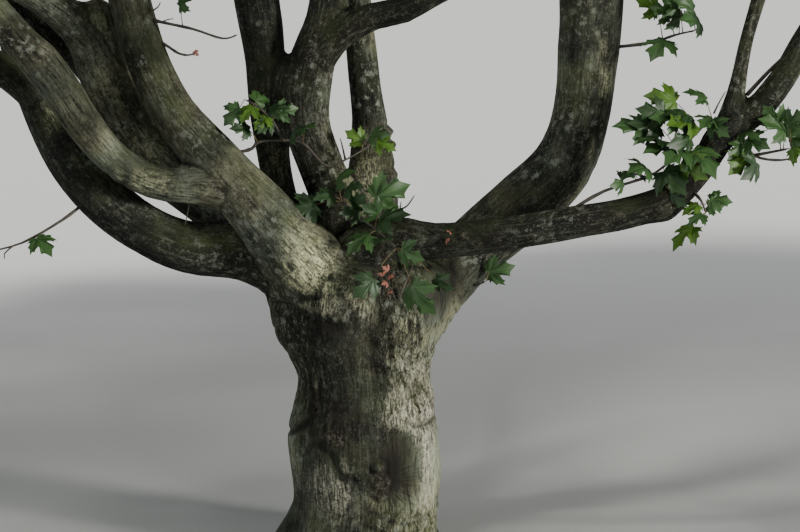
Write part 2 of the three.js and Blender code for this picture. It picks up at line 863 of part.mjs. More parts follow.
// A named mesh with its own material
function meshOf(name, body, [colour, roughness]) {
  const { vertProperties, triVerts } = body.getMesh();
  const geometry = new THREE.BufferGeometry();
  geometry.setAttribute("position", new THREE.BufferAttribute(new Float32Array(vertProperties), 3));
  geometry.setIndex(new THREE.BufferAttribute(new Uint32Array(triVerts), 1));
  geometry.computeVertexNormals();
  const material = new THREE.MeshStandardMaterial({ color: colour, roughness, metalness: 0 });
  const mesh = new THREE.Mesh(geometry, material);
  mesh.name = name;
  return mesh;
}

// All limbs with their rows, seated in order
function growLimbs(masses) {
  const limbs = [];
  BOUGHS.forEach((bough, k) => {
    const rows = boughRows(bough, masses, seeded(11 + k));
    bough.rows = rows;
    const { parts, sides, feeds, split } = bough;
    const row = stations(rows);
    limbs.push({ parts, sides, feeds, row, cut: (split || 0) * (bough.fine || 1) });
  });
  SIDE_LIMBS.forEach(([name, from, along, feeds], k) => {
    const parent = BOUGHS.find((bough) => bough.name === from);
    const rows = sideRows(parent, along, masses[feeds], seeded(71 + k));
    limbs.push({ parts: [name], sides: SIDE_SIDES, feeds, row: stations(rows), cut: 0 });
  });
  return limbs;
}

// The solids of a limb, parted at its bend
function limbBodies({ row, cut, sides }) {
  const rings = limbRings(row, sides, 0);
  if (!cut) return [skin(rings)];
  const shifted = rings[cut].map((point) => point.clone().addScaledVector(row[cut].dir, GAP));
  return [skin(rings.slice(0, cut + 1)), skin([shifted, ...rings.slice(cut + 1)])];
}

// Build the tree
const masses = crownMasses();
raiseWalls(Object.values(masses));
const limbs = growLimbs(masses);

const tree = new THREE.Group();
tree.name = "cappadocian_maple";
tree.add(meshOf("trunk", trunkSolid(0), BARK));

const cutters = [trunkSolid(2 * GAP)];
for (const limb of limbs) {
  const tool = skin(limbRings(limb.row, limb.sides, GAP));
  limbBodies(limb).forEach((body, i) => {
    for (const cutter of cutters) body = body.subtract(cutter);
    tree.add(meshOf(limb.parts[i], biggest(body), BARK));
  });
  cutters.push(tool);
}

Object.entries(SPRIGS).forEach(([name, sprig], k) => {
  tree.add(meshOf(`sprig_${name}`, sprigSolid(sprig, seeded(211 + k), cutters), LEAF_BRIGHT));
});

for (const [name, mass] of Object.entries(masses)) {
  const limb = limbs.find(({ feeds }) => feeds === name);
  tree.add(meshOf(`foliage_${name}`, massSolid(mass, limb, limbs), LEAF));
}

export default tree;
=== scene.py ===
import json
import math

import bpy
import numpy as np
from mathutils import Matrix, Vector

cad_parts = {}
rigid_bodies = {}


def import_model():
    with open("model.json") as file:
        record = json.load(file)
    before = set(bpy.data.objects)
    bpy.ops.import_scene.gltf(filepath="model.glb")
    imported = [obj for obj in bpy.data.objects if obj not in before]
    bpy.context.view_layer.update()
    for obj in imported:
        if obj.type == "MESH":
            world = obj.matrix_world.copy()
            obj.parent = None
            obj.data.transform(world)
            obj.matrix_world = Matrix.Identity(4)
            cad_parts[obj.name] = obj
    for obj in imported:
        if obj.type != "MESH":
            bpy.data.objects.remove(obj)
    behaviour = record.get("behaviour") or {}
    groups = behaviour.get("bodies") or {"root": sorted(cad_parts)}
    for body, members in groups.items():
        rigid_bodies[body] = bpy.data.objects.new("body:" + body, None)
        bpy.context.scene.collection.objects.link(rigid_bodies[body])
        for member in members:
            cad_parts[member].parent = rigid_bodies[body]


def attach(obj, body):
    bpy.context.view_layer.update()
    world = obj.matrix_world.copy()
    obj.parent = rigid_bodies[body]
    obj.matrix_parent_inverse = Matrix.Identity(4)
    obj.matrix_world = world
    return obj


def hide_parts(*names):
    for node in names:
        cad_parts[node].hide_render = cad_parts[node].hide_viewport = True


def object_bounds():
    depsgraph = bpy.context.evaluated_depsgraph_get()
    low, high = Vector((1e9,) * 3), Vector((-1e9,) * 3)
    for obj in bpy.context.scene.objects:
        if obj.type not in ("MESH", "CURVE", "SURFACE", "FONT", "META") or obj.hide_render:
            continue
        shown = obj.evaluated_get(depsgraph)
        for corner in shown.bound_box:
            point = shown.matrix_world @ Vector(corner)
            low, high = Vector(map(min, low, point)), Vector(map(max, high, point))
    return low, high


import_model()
CAD_BOX = [list(corner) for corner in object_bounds()]
MM = 0.001
UP = np.array([0.0, 0.0, 1.0])

# Trunk outline: height, middle x, half width, half depth
TRUNK_RINGS = [
    (0, -17, 217, 205),
    (32, -16, 204, 190),
    (75, -8, 193, 178),
    (130, 0, 184, 172),
    (210, -3, 189, 174),
    (288, -6, 190, 174),
    (360, -7, 182, 168),
    (432, -5, 170, 160),
    (487, -14, 181, 164),
    (537, -22, 205, 176),
    (600, -18, 224, 188),
    (660, -12, 216, 184),
    (712, -6, 186, 162),
    (744, -4, 108, 96),
]
FLARE = {"lobes": 5, "turn": 0.6, "depth": 15, "height": 110}

# Boughs: name, nodes, what they leave, the mass they feed, steps, and places with radii
BOUGHS = [
    ("shoulder", ("bough_shoulder", "bough_left_upright"), None, "high_2", 1, [
        (-40, -12, 600, 122), (-150, -60, 725, 101), (-240, -70, 835, 81), (-310, -65, 915, 70),
        (-395, -45, 1010, 57), (-470, -30, 1098, 50), (-533, -15, 1220, 48), (-580, 0, 1375, 48),
    ]),
    ("right", ("bough_right_lower", "bough_right_upper"), None, "high_0", 2, [
        (60, 40, 575, 121), (185, 75, 675, 91), (285, 100, 760, 80), (400, 125, 860, 79),
        (490, 143, 950, 75), (545, 150, 1090, 70), (562, 155, 1240, 77), (570, 160, 1395, 82),
    ]),
    ("low_left", ("bough_low_left_lower", "bough_low_left_upper"), None, "low_4", 1, [
        (-90, 20, 650, 92), (-300, 0, 752, 72), (-440, -10, 764, 65), (-560, -15, 815, 62),
        (-660, -10, 895, 62), (-752, 8, 1020, 62), (-812, 45, 1135, 57), (-868, 90, 1265, 50),
        (-935, 140, 1410, 45),
    ]),
    ("centre", ("bough_centre",), None, "high_3", 1, [
        (-35, 15, 700, 92), (-75, 35, 850, 70), (-108, 42, 950, 60), (-148, 45, 1075, 57),
        (-140, 45, 1200, 57), (-98, 38, 1325, 47), (-82, 35, 1430, 44),
    ]),
    ("back_upright", ("bough_back_upright",), None, "high_1", 1, [
        (-120, 80, 660, 72), (-195, 112, 820, 52), (-235, 120, 945, 47), (-252, 108, 1080, 48),
        (-262, 100, 1230, 49), (-275, 95, 1410, 50),
    ]),
    ("rear", ("bough_rear",), None, "low_2", 1, [
        (30, 70, 680, 92), (12, 140, 850, 70), (14, 160, 955, 59), (8, 166, 1050, 46),
        (-10, 170, 1210, 39), (-25, 175, 1385, 35),
    ]),
    ("back_left", ("bough_back_left",), None, "mid_2", 1, [
        (-190, 60, 690, 76), (-385, 100, 855, 61), (-520, 105, 960, 50), (-596, 105, 1060, 48),
        (-652, 106, 1175, 48), (-712, 90, 1295, 40), (-790, 70, 1365, 36), (-870, 60, 1410, 35),
    ]),
    ("front_left", ("bough_front_left_lower", "bough_front_left_upper"), "shoulder", "mid_3", 1, [
        (-290, -68, 905, 60), (-405, -90, 925, 44), (-520, -106, 938, 38), (-612, -118, 995, 39),
        (-682, -130, 1080, 41), (-755, -145, 1195, 45), (-818, -160, 1270, 43),
        (-885, -175, 1350, 43),
    ]),
    ("level", ("bough_level_lower", "bough_level_upper"), None, "low_0", 1, [
        (-25, -30, 725, 88), (65, -75, 793, 53), (170, -96, 791, 41), (320, -110, 808, 40),
        (500, -120, 838, 38), (660, -120, 868, 35), (752, -118, 905, 34), (818, -110, 972, 34),
        (878, -105, 1062, 38), (950, -100, 1108, 34), (1022, -93, 1190, 32),
        (1095, -85, 1305, 30),
    ]),
    ("back_left_stub", ("bough_back_left_stub",), "back_left", None, 1, [
        (-652, 112, 1200, 54), (-676, 110, 1285, 46), (-686, 106, 1352, 38), (-684, 102, 1388, 24),
    ]),
    ("low_left_fork", ("bough_low_left_fork",), "low_left", "low_5", 1, [
        (-800, 32, 1118, 46), (-868, 0, 1186, 42), (-952, -20, 1242, 37),
    ]),
    ("back_left_fork", ("bough_back_left_fork",), "back_left", "low_3", 1, [
        (-640, 115, 1110, 32), (-725, 150, 1215, 30), (-800, 168, 1285, 28), (-872, 190, 1345, 25),
    ]),
    ("centre_fork", ("bough_centre_fork",), "centre", "low_7", 1, [
        (-138, 42, 1195, 44), (-65, 10, 1290, 38), (20, -16, 1337, 33), (95, -38, 1354, 32),
        (165, -60, 1392, 30),
    ]),
    ("level_fork", ("bough_level_fork",), "level", "inner_0", 1, [
        (876, -104, 1060, 30), (902, -100, 1150, 22), (922, -95, 1260, 17), (962, -88, 1410, 18),
    ]),
]

# Side limbs: node, the bough each leaves, how far along its unseen reach, the mass it feeds
SIDE_LIMBS = [
    ("limb_right_1", "right", 0.16, "low_1"),
    ("limb_right_2", "right", 0.34, "mid_0"),
    ("limb_right_3", "right", 0.52, "mid_5"),
    ("limb_back_1", "back_upright", 0.3, "mid_1"),
    ("limb_back_2", "back_upright", 0.62, "top_0"),
    ("limb_front_1", "centre", 0.14, "low_6"),
    ("limb_front_2", "centre", 0.42, "mid_4"),
]
# A side limb's first radius, as a share of its bough's there
SIDE_SHARE = 0.66
# The unseen part of a limb, from its last place to the edge of its mass
REACH = {
    "steps": 6, "pull": 0.36, "wander": 26, "tip": 25, "taper": 0.8, "from_below": 0.25, "inset": 0.97,
}
# Seeds: the first of the boughs, side limbs and sprigs, what finer twigs add to their mass's, and others
SEEDS = {"bough": 11, "limb": 71, "sprig": 211, "finer": 3, "crown": 5, "sprig_tints": 77}

# Crown tiers: name, count, distance out, height, half sizes, large sprays, first angle
TIERS = [
    ("low", 8, 2820, 2780, (1350, 1270, 1000), 18, 0),
    ("mid", 6, 2420, 4420, (1400, 1400, 1100), 18, 30),
    ("high", 4, 1400, 5900, (1300, 1230, 1050), 18, 20),
    ("top", 1, 60, 7020, (1120, 1080, 860), 15, 0),
    ("inner", 1, 1340, 2330, (620, 580, 480), 9, -12),
]
# How far the places and half sizes of masses may be off their tier's
TIER_SWAY = {"out": 120, "z": 120, "half": 0.06}
# The gap between a limb's tip and the stem of its mass, as on the solids
GAP = 0.3

# Sprays of the source's rule. Each fifth one is near the middle of its mass.
SPRAY = {
    "length": 790, "width": 700, "widest": 0.45, "fits": 950, "hang": 0.22, "sway": 0.5,
    "size": (0.88, 1.12), "outer": (0.72, 0.84), "inner": (0.36, 0.46), "inner_of": (2, 5),
    "let_in": 0.08, "least": 0.25, "outward": 0.1, "flatten": 0.75, "face_up": 0.5,
}
# The stem of a mass: shares of the way to its middle, and how far it swings at each
STEM = [(0.3, 0), (0.62, 40), (0.95, 60)]
# Where on the stem and on other twigs new ones may start, and the least length of a twig
STEM_SPOTS = (0.5, 0.9)
TWIG_SPOTS = (0.35, 0.65)
TWIG_LEAST = 130
# How a twig picks its spot: what turning away costs, how many are tried, and places tested on its line
PICK = {"turn": 0.6, "tries": 8, "tests": 8}
# Twigs to the near side of a mass grow first, and a larger value makes that matter less
NEAR_FIRST = 1.4
# The share of a twig, from its start, that may run through others' sprays
FREE_START = 0.1
# Room that masses, lines, twigs and sprays keep to what is round them
ROOM = {"mass": 14, "line": 6, "twig": 16, "spray": 45}


def mix(a, b, t):
    return a + (b - a) * t


def unit(vectors):
    """Vectors scaled to length one."""
    return vectors / np.maximum(np.linalg.norm(vectors, axis=-1, keepdims=True), 1e-12)


def dot(a, b):
    return np.sum(a * b, axis=-1)


def smooth(low, high, values):
    """A smooth step from 0 at low to 1 at high."""
    t = np.clip((values - low) / (high - low), 0, 1)
    return t * t * (3 - 2 * t)


def seeded(seed):
    """Seeded numbers from 0 to 1, the same as the source's."""
    state = seed
    full = 0xFFFFFFFF

    def draw():
        nonlocal state
        state = (state + 0x6D2B79F5) & full
        t = ((state ^ (state >> 15)) * (1 | state)) & full
        t = ((t + (((t ^ (t >> 7)) * (61 | t)) & full)) & full) ^ t
        return (t ^ (t >> 14)) / 4294967296

    return draw


def curve_at(rows, s):
    """A place on the smooth curve through rows of numbers."""
    i = min(int(s), len(rows) - 2)
    t = s - i
    a, b, c, d = (rows[max(0, min(len(rows) - 1, k))] for k in (i - 1, i, i + 1, i + 2))
    second = 2 * a - 5 * b + 4 * c - d
    third = 3 * b - 3 * c + d - a
    return b + 0.5 * t * (c - a + t * (second + t * third))


def directions(points):
    """Directions along a line of places."""
    before = np.vstack([points[:1], points[:-1]])
    after = np.vstack([points[1:], points[-1:]])
    return unit(after - before)


def crown_masses():
    """The masses of foliage, worked out tier by tier."""
    masses = {}
    for t, (name, count, far_out, z, halves, sprays, first) in enumerate(TIERS):
        for i in range(count):
            random = seeded(100 * (t + 1) + i)

            def sway(size):
                return size * (2 * random() - 1)

            angle = math.radians(first + 360 * i / count)
            out = far_out + sway(TIER_SWAY["out"]) if count > 1 else far_out
            middle = np.array([out * math.cos(angle), out * math.sin(angle), z], float)
            if count > 1:
                middle[2] += sway(TIER_SWAY["z"])
            ray = [math.cos(angle), math.sin(angle), 0]
            axes = np.array([ray, [-ray[1], ray[0], 0], [0, 0, 1]])
            half = np.array([size * (1 + sway(TIER_SWAY["half"])) for size in halves])
            masses[f"{name}_{i}"] = {
                "middle": middle,
                "axes": axes,
                "half": half,
                "scale": min(1, half[2] / SPRAY["fits"]),
                "sprays": sprays,
                "seed": 1000 * (t + 1) + 7 * i,
            }
    for one in masses.values():
        others = [other for other in masses.values() if other is not one]
        lines = np.array([other["middle"] - one["middle"] for other in others])
        one["wall_dir"] = unit(lines)
        mine = reach_along(one, one["wall_dir"])
        theirs = np.array([reach_along(o, d) for o, d in zip(others, one["wall_dir"])])
        one["wall_far"] = np.linalg.norm(lines, axis=1) * mine / (mine + theirs)
    return masses


def reach_along(mass, rays):
    """How far a mass reaches from its middle along rays."""
    return 1 / np.linalg.norm((rays @ mass["axes"].T) / mass["half"], axis=-1)


def in_space(mass, places, margin=ROOM["mass"]):
    """Whether places lie in the space that a mass keeps to itself."""
    from_middle = places - mass["middle"]
    far = np.linalg.norm(from_middle, axis=-1)
    inside = (far < 1) | (far <= reach_along(mass, unit(from_middle)) - margin)
    walls = from_middle @ mass["wall_dir"].T < mass["wall_far"] - margin
    return inside & walls.all(axis=-1)


def reach_rows(last, heading, mass, random):
    """Rows that carry a limb on from its last row to the edge of the mass it feeds."""
    start = last[:3]
    back = unit(start - mass["middle"])
    back = unit(back - [0, 0, REACH["from_below"]])
    entry = mass["middle"] + back * reach_along(mass, back) * REACH["inset"]
    pull = REACH["pull"] * np.linalg.norm(entry - start)
    bend, ease = start + heading * pull, entry + back * pull
    rows = []
    for k in range(1, REACH["steps"] + 1):
        t = k / REACH["steps"]
        u = 1 - t
        p = u ** 3 * start + 3 * u * u * t * bend + 3 * u * t * t * ease + t ** 3 * entry
        wander = REACH["wander"] * math.sin(math.pi * t)
        p[0] += wander * (2 * random() - 1)
        p[1] += wander * (2 * random() - 1)
        rows.append([*p, mix(last[3], REACH["tip"], t ** REACH["taper"])])
    return np.array(rows)


def smooth_line(rows, steps):
    """Rows on the smooth curve through others, some steps from each to the next."""
    count = (len(rows) - 1) * steps
    return np.array([curve_at(rows, k / steps) for k in range(count)] + [rows[-1]])


def bough_rows(through, feeds, steps, masses, random):
    """A bough's rows: smooth through its places, then on to its mass."""
    through = np.array(through, float)
    rows = smooth_line(through, steps)
    count = len(rows) - 1
    if not feeds:
        return rows, count
    heading = unit(through[-1, :3] - through[-2, :3])
    return np.vstack([rows, reach_rows(through[-1], heading, masses[feeds], random)]), count


def side_rows(parent, along, mass, random):
    """The rows of a side limb that leaves its bough on its unseen reach."""
    last = len(parent["rows"]) - 1
    s = parent["seen"] + along * (last - parent["seen"])
    first = curve_at(parent["rows"], s).copy()
    onward = curve_at(parent["rows"], min(s + 0.5, last))[:3] - first[:3]
    first[3] *= SIDE_SHARE
    heading = unit(unit(onward) + unit(mass["middle"] - first[:3]))
    return np.vstack([first, reach_rows(first, heading, mass, random)])


def grow_limbs(masses):
    """All limbs: their nodes, rows, what they leave and what they feed."""
    limbs = []
    for k, (name, nodes, leaves, feeds, steps, through) in enumerate(BOUGHS):
        rows, seen = bough_rows(through, feeds, steps, masses, seeded(SEEDS["bough"] + k))
        limbs.append({
            "name": name, "nodes": nodes, "leaves": leaves, "feeds": feeds, "rows": rows, "seen": seen,
        })
    for k, (name, leaves, along, feeds) in enumerate(SIDE_LIMBS):
        parent = next(limb for limb in limbs if limb["name"] == leaves)
        rows = side_rows(parent, along, masses[feeds], seeded(SEEDS["limb"] + k))
        limbs.append({
            "name": name, "nodes": (name,), "leaves": leaves, "feeds": feeds, "rows": rows, "seen": 0,
        })
    return limbs


def limb_lines(limbs):
    """The straight pieces between the rows of all limbs: starts, lines and radii."""
    starts = np.vstack([limb["rows"][:-1] for limb in limbs])
    ends = np.vstack([limb["rows"][1:] for limb in limbs])
    return starts[:, :3], (ends - starts)[:, :3], starts[:, 3], ends[:, 3]


def clearance(places, lines):
    """Distances from places to the skin of the nearest limb."""
    starts, spans, first, last = lines
    away = places[..., None, :] - starts
    t = np.clip(dot(away, spans) / dot(spans, spans), 0, 1)
    far = np.linalg.norm(away - t[..., None] * spans, axis=-1) - mix(first, last, t)
    return far.min(axis=-1)


def spray_aims(mass, count, random):
    """Directions spread evenly over a mass, each with a share of its reach."""
    turn = 2 * math.pi * random()
    golden = math.pi * (3 - math.sqrt(5))
    aims = []
    for i in range(count):
        up = 1 - (2 * i + 1) / count
        flat = math.sqrt(1 - up * up)
        angle = turn + golden * i
        out = np.array([flat * math.cos(angle), flat * math.sin(angle), up]) @ mass["axes"]
        inner, every = SPRAY["inner_of"]
        share = mix(*SPRAY["inner" if i % every == inner else "outer"], random())
        size = mix(*SPRAY["size"], random())
        aims.append({"out": out, "share": share, "size": size, "sway": (random(), random())})
    return aims


def clear_line(a, b, radius, mass, lines):
    """Whether a straight line keeps clear of the limbs and inside its space."""
    steps = np.arange(1, PICK["tests"] + 1) / PICK["tests"]
    places = a + (b - a) * steps[:, None]
    return in_space(mass, places).all() and (clearance(places, lines) >= radius + ROOM["line"]).all()


def best_spot(place, twigs, mass, lines, least=TWIG_LEAST):
    """The best spot on the twigs already there for a new one: near by and pointing its way."""
    spots = []
    for parent, twig in enumerate(twigs):
        along = unit(twig["to"] - twig["from"])
        for at in STEM_SPOTS if parent < len(STEM) else TWIG_SPOTS:
            p = mix(twig["from"], twig["to"], at)
            line = place - p
            far = np.linalg.norm(line)
            if far > least:
                spots.append((far * (1 + PICK["turn"] * (1 - line @ along / far)), parent, p))
    spots.sort(key=lambda spot: spot[0])
    for _, parent, p in spots[:PICK["tries"]]:
        if clear_line(p, place, ROOM["twig"], mass, lines):
            return p, parent
    return None


def spray_at(start, root, aim, scale):
    """The spray at the end of a twig, along the edge of the mass and hanging a little."""
    out, size = aim["out"], aim["size"]
    ray = unit(root - start)
    ray = ray + out * (SPRAY["outward"] - SPRAY["flatten"] * (ray @ out)) - SPRAY["hang"] * UP
    ray[0] += SPRAY["sway"] * (aim["sway"][0] - 0.5)
    ray[1] += SPRAY["sway"] * (aim["sway"][1] - 0.5)
    ray = unit(ray)
    face = out + SPRAY["face_up"] * UP
    face = unit(face - ray * (face @ ray))
    across = np.cross(ray, face)
    length = SPRAY["length"] * size * scale
    half = 0.5 * SPRAY["width"] * size * scale
    middle = root + ray * SPRAY["widest"] * length
    return {
        "root": root, "ray": ray, "face": face, "length": length, "width": 2 * half,
        "right": middle + across * half, "left": middle - across * half, "tip": root + ray * length,
    }


def spray_fits(spray, mass, lines):
    """Whether a spray keeps to its space and clear of every limb."""
    corners = np.array([spray["right"], spray["left"], spray["tip"]])
    if not in_space(mass, corners).all():
        return False
    i, j = np.meshgrid(np.arange(9), np.arange(-2, 3), indexing="ij")
    wide = (1 - np.abs(i / 4 - 1)) * j / 4
    places = spray["root"] + (i / 8)[..., None] * (spray["tip"] - spray["root"])
    places = places + wide[..., None] * (spray["right"] - spray["left"])
    return bool((clearance(places, lines) >= ROOM["spray"]).all())


def pierces(a, b, p, q, s):
    """Whether lines from a to b pass through triangles p, q, s."""
    u, v, line = q - p, s - p, b - a
    cross = np.cross(line, v)
    det = dot(u, cross)
    flat = np.abs(det) < 1e-6
    det = np.where(flat, 1, det)
    away = a - p
    x = dot(away, cross) / det
    turned = np.cross(away, u)
    y = dot(line, turned) / det
    t = dot(v, turned) / det
    return ~flat & (x > 0) & (y > 0) & (x + y < 1) & (t > 0) & (t < 1)


def tangled(one, other):
    """Whether two twigs with sprays run through one another."""

    def lines_of(twig):
        s = twig["spray"]
        start = mix(twig["from"], twig["to"], FREE_START)
        loop = [s["root"], s["right"], s["tip"], s["left"], s["root"]]
        return np.array(loop[:4] + [start]), np.array(loop[1:] + [twig["to"]])

    def cuts(lines, s):
        first = pierces(*lines, s["root"], s["right"], s["tip"])
        return (first | pierces(*lines, s["root"], s["tip"], s["left"])).any()

    return cuts(lines_of(one), other["spray"]) or cuts(lines_of(other), one["spray"])


def aim_twig(aim, twigs, mass, lines):
    """A twig to a spray's aim, let in from the edge until the whole spray fits."""
    share = aim["share"]
    while share > SPRAY["least"]:
        to = mass["middle"] + aim["out"] * reach_along(mass, aim["out"]) * share
        share -= SPRAY["let_in"]
        spot = in_space(mass, to) and best_spot(to, twigs, mass, lines)
        if not spot:
            continue
        spray = spray_at(spot[0], to, aim, mass["scale"])
        if not spray_fits(spray, mass, lines):
            continue
        twig = {"from": spot[0], "to": to, "parent": spot[1], "spray": spray}
        if not any("spray" in other and tangled(twig, other) for other in twigs):
            return twig
    return None


def grow_twigs(mass, limb, lines):
    """The source's twigs of a mass: a stem to its middle, then a twig for each large spray."""
    random = seeded(mass["seed"])
    points = limb["rows"][:, :3]
    end, heading = points[-1], directions(points)[-1]
    inward = mass["middle"] - end
    twigs = []
    start = end + heading * GAP
    for k, (share, swing) in enumerate(STEM):
        to = end + inward * share
        to[0] += swing * (2 * random() - 1)
        to[1] += swing * (2 * random() - 1)
        twigs.append({"from": start, "to": to, "parent": k - 1})
        start = to
    entry = unit(inward)
    aims = spray_aims(mass, mass["sprays"], random)
    aims.sort(key=lambda aim: aim["share"] * (NEAR_FIRST + aim["out"] @ entry))
    for aim in aims:
        twig = aim_twig(aim, twigs, mass, lines)
        if twig:
            twigs.append(twig)
    return twigs


# Bark: one skin over trunk and limbs, on a grid that is fine where the limbs are thick

# The grid's steps: round the boughs, at the trunk, and the most that they grow to beyond
FINE = 7.8
FINEST = 5.2
FINEST_ZONES = ((-235, 235), None, (0, 530))
COARSE = {"flat": 19.0, "up": 30.0}
STRETCH = 1.05
FINE_FROM = (-1010, -330, 0)
FINE_TO = (1180, 300, 1440)
# Cells along each side of a block of the grid, and how far past the wood blocks are looked at
CELLS = 8
COLLAR_REACH = 44
# Length of the straight pieces of a limb, and the least and most of them between two rows
PIECE = 34
PIECES = (2, 9)
# Width of the collars where limbs leave others, as shares of a limb's first radius
COLLARS = {"shoulder": 1.3, "right": 1.1, "level": 1.1, "back_left": 0.9, "low_left": 0.9}
COLLAR = 0.7
# Webs of wood between boughs side by side: the heights over which each fades in and out, and its width
WEBS = [
    {"limbs": ("centre", "back_upright"), "from": (980, 1050), "to": (1200, 1278), "width": 120},
    {"limbs": ("centre", "rear"), "from": (760, 830), "to": (960, 1040), "width": 90},
]
# The least share of its collar that a limb keeps where it runs along another
LEAST_COLLAR = 0.04
# How far behind its start a limb still counts, in radii
BEHIND = 0.5
# Steps of the trunk's outline, and how widely its top edge is rounded
TRUNK_STEPS = 160
TRUNK_TOP_ROUND = 46
# Heights at which the skin is parted: the trunk's top, and a little above the fine grid
PIECE_LEVELS = (TRUNK_RINGS[-1][0], FINE_TO[2] + 20)
# Places lower than this many fine cells are set flat on the ground
GROUND_CELLS = 0.6
# The trunk's box, and the room that the grid has round the limbs
TRUNK_BOX = ((-260, -230, 0), (240, 230, 780))
SKIN_MARGIN = 80

# How the skin's places are followed: least slope, reach of a mixed tone, and the trunk's own radius
STEEP_LEAST = 0.3
TONE_REACH = 22
TONE_FAR = 400
TRUNK_RADIUS = 180.0
# The grain of each limb starts this far along from the last one's, so that no two look alike
GRAIN_START = 1700
FAR = 1e3

# How warm and light the bark is, from 0 to 1: its own warmth with painted sunlight and shade. Limbs that
# aren't named take the last tone.
TONES = {
    "shoulder": 0.44, "front_left": 0.68, "low_left": 0.04, "low_left_fork": 0.04, "back_left": 0.5,
    "back_left_stub": 0.55, "back_left_fork": 0.04, "back_upright": 0.0, "right": 0.28, "centre": 0.08,
    "centre_fork": -0.05, "level": 0.0, "level_fork": 0.14, "rear": 0.24,
}
OTHER_TONE = 0.32
TRUNK_TONE = 0.36

# How much fuller than the solids the skin of some boughs is, row by row
FULLER = {
    "back_left": (0, 6, 12, 16, 16, 12, 6), "shoulder": (0, 0, 0, 2, 5, 6, 5, 3),
    "front_left": (0, 2, 3, 3, 3, 3), "level": (0, 2, 2, 2, 2, 3, 2),
    "back_left_stub": (4, 6, 8, 10), "centre": (-6, -14, -4, 0, 2, 3, 5),
    "back_upright": (-4, -12, -8, 0, 2, 6), "right": (0, 0, 0, 0, 0, 2, 4, 4, 4, 4, 3),
}
# How far the skin's middle lies to the right of the solids' and above it, row by row
SHIFTS = {
    "back_left_stub": [(4, 0), (8, 0), (10, -22), (8, -64)],
    "back_upright": [(0, 0), (0, 0), (4, 0), (10, 0), (9, 0), (-4, 0)],
    "right": [(0, 0)] * 5 + [(2, 0), (5, 0), (6, 0), (6, 0), (5, 0), (2, 0)],
    "level": [(0, 0)] * 10 + [(-4, 0), (-12, 0)],
}
BOUGH_NAMES = [row[0] for row in BOUGHS + SIDE_LIMBS]
LIMB_TONES = [TONES.get(name, OTHER_TONE) for name in BOUGH_NAMES]


def grid_lines(low, high, fine_low, fine_high, coarse, finest):
    """Grid lines that are close together in the middle and spread out beyond it."""
    lines = [fine_low]
    while lines[-1] < fine_high:
        close = finest is not None and finest[0] <= lines[-1] < finest[1]
        lines.append(lines[-1] + (FINEST if close else FINE))
    step = FINE
    while lines[-1] < high + 2 * coarse:
        step = min(step * STRETCH, coarse)
        lines.append(lines[-1] + step)
    step = FINE
    while lines[0] > low - 2 * coarse:
        step = min(step * STRETCH, coarse)
        lines.insert(0, lines[0] - step)
    while (len(lines) - 1) % CELLS:
        lines.append(lines[-1] + coarse)
    return np.array(lines)


def finer_rows(rows):
    """Rows closer together on the smooth curve through unevenly spaced rows."""
    spans = np.linalg.norm(np.diff(rows[:, :3], axis=0), axis=1)[:, None]
    steps = np.diff(rows, axis=0) / spans
    share = spans[:-1] / (spans[:-1] + spans[1:])
    inner = mix(steps[:-1], steps[1:], share)
    pulls = np.vstack([steps[:1], inner, steps[-1:]])
    finer = []
    for a, b, span, start, end in zip(rows, rows[1:], spans, pulls, pulls[1:]):
        count = int(np.clip(round(span[0] / PIECE), *PIECES))
        t = (np.arange(count) / count)[:, None]
        u = 1 - t
        bend = u * u * t * start * span - u * t * t * end * span
        finer.append(u * u * (1 + 2 * t) * a + t * t * (3 - 2 * t) * b + bend)
    return np.vstack(finer + [rows[-1:]])


def wood_pieces(limbs):
    """Short straight pieces along the smooth middles of all limbs, with frames that follow them."""
    parts = []
    for number, limb in enumerate(limbs):
        through = limb["rows"].copy()
        fuller = FULLER.get(limb["name"], ())
        through[:len(fuller), 3] += fuller
        moves = np.array(SHIFTS.get(limb["name"], [(0, 0)]), float)
        through[:len(moves), 0] += moves[:, 0]
        through[:len(moves), 2] += moves[:, 1]
        rows = finer_rows(through)
        points, rays = rows[:, :3], directions(rows[:, :3])
        sides = [unit(np.cross([0.0, 1.0, 0.0], rays[0]))]
        for ray in rays[1:]:
            sides.append(unit(sides[-1] - ray * (sides[-1] @ ray)))
        spans = points[1:] - points[:-1]
        lengths = np.linalg.norm(spans, axis=1)
        turns = np.linalg.norm(rays[1:] - rays[:-1], axis=1) / lengths
        parts.append({
            "start": points[:-1], "span": spans, "first": rows[:-1, 3], "last": rows[1:, 3],
            "side": np.array(sides[:-1]), "ray": unit(spans), "length": lengths,
            "along": np.concatenate([[0], np.cumsum(lengths)[:-1]]),
            "turn": turns * rows[:-1, 3],
            "limb": np.full(len(rows) - 1, number),
        })
    return {key: np.concatenate([part[key] for part in parts]) for key in parts[0]}


def smooth_min(a, b, width):
    """The lesser of two distances, rounded where they are alike."""
    near = np.maximum(width - np.abs(a - b), 0) / width
    return np.minimum(a, b) - near * near * width / 4


def trunk_table():
    """The trunk's smooth outline at closely spaced heights."""
    rings = np.array(TRUNK_RINGS, float)
    steps = np.linspace(0, len(rings) - 1.0001, TRUNK_STEPS)
    return np.array([curve_at(rings, s) for s in steps])


TRUNK = trunk_table()


def trunk_at(places):
    """Heights kept to the trunk's, and its middle, half width and half depth there."""
    z = np.clip(places[:, 2], 0, TRUNK[-1, 0])
    return z, *(np.interp(z, TRUNK[:, 0], TRUNK[:, k]) for k in (1, 2, 3))


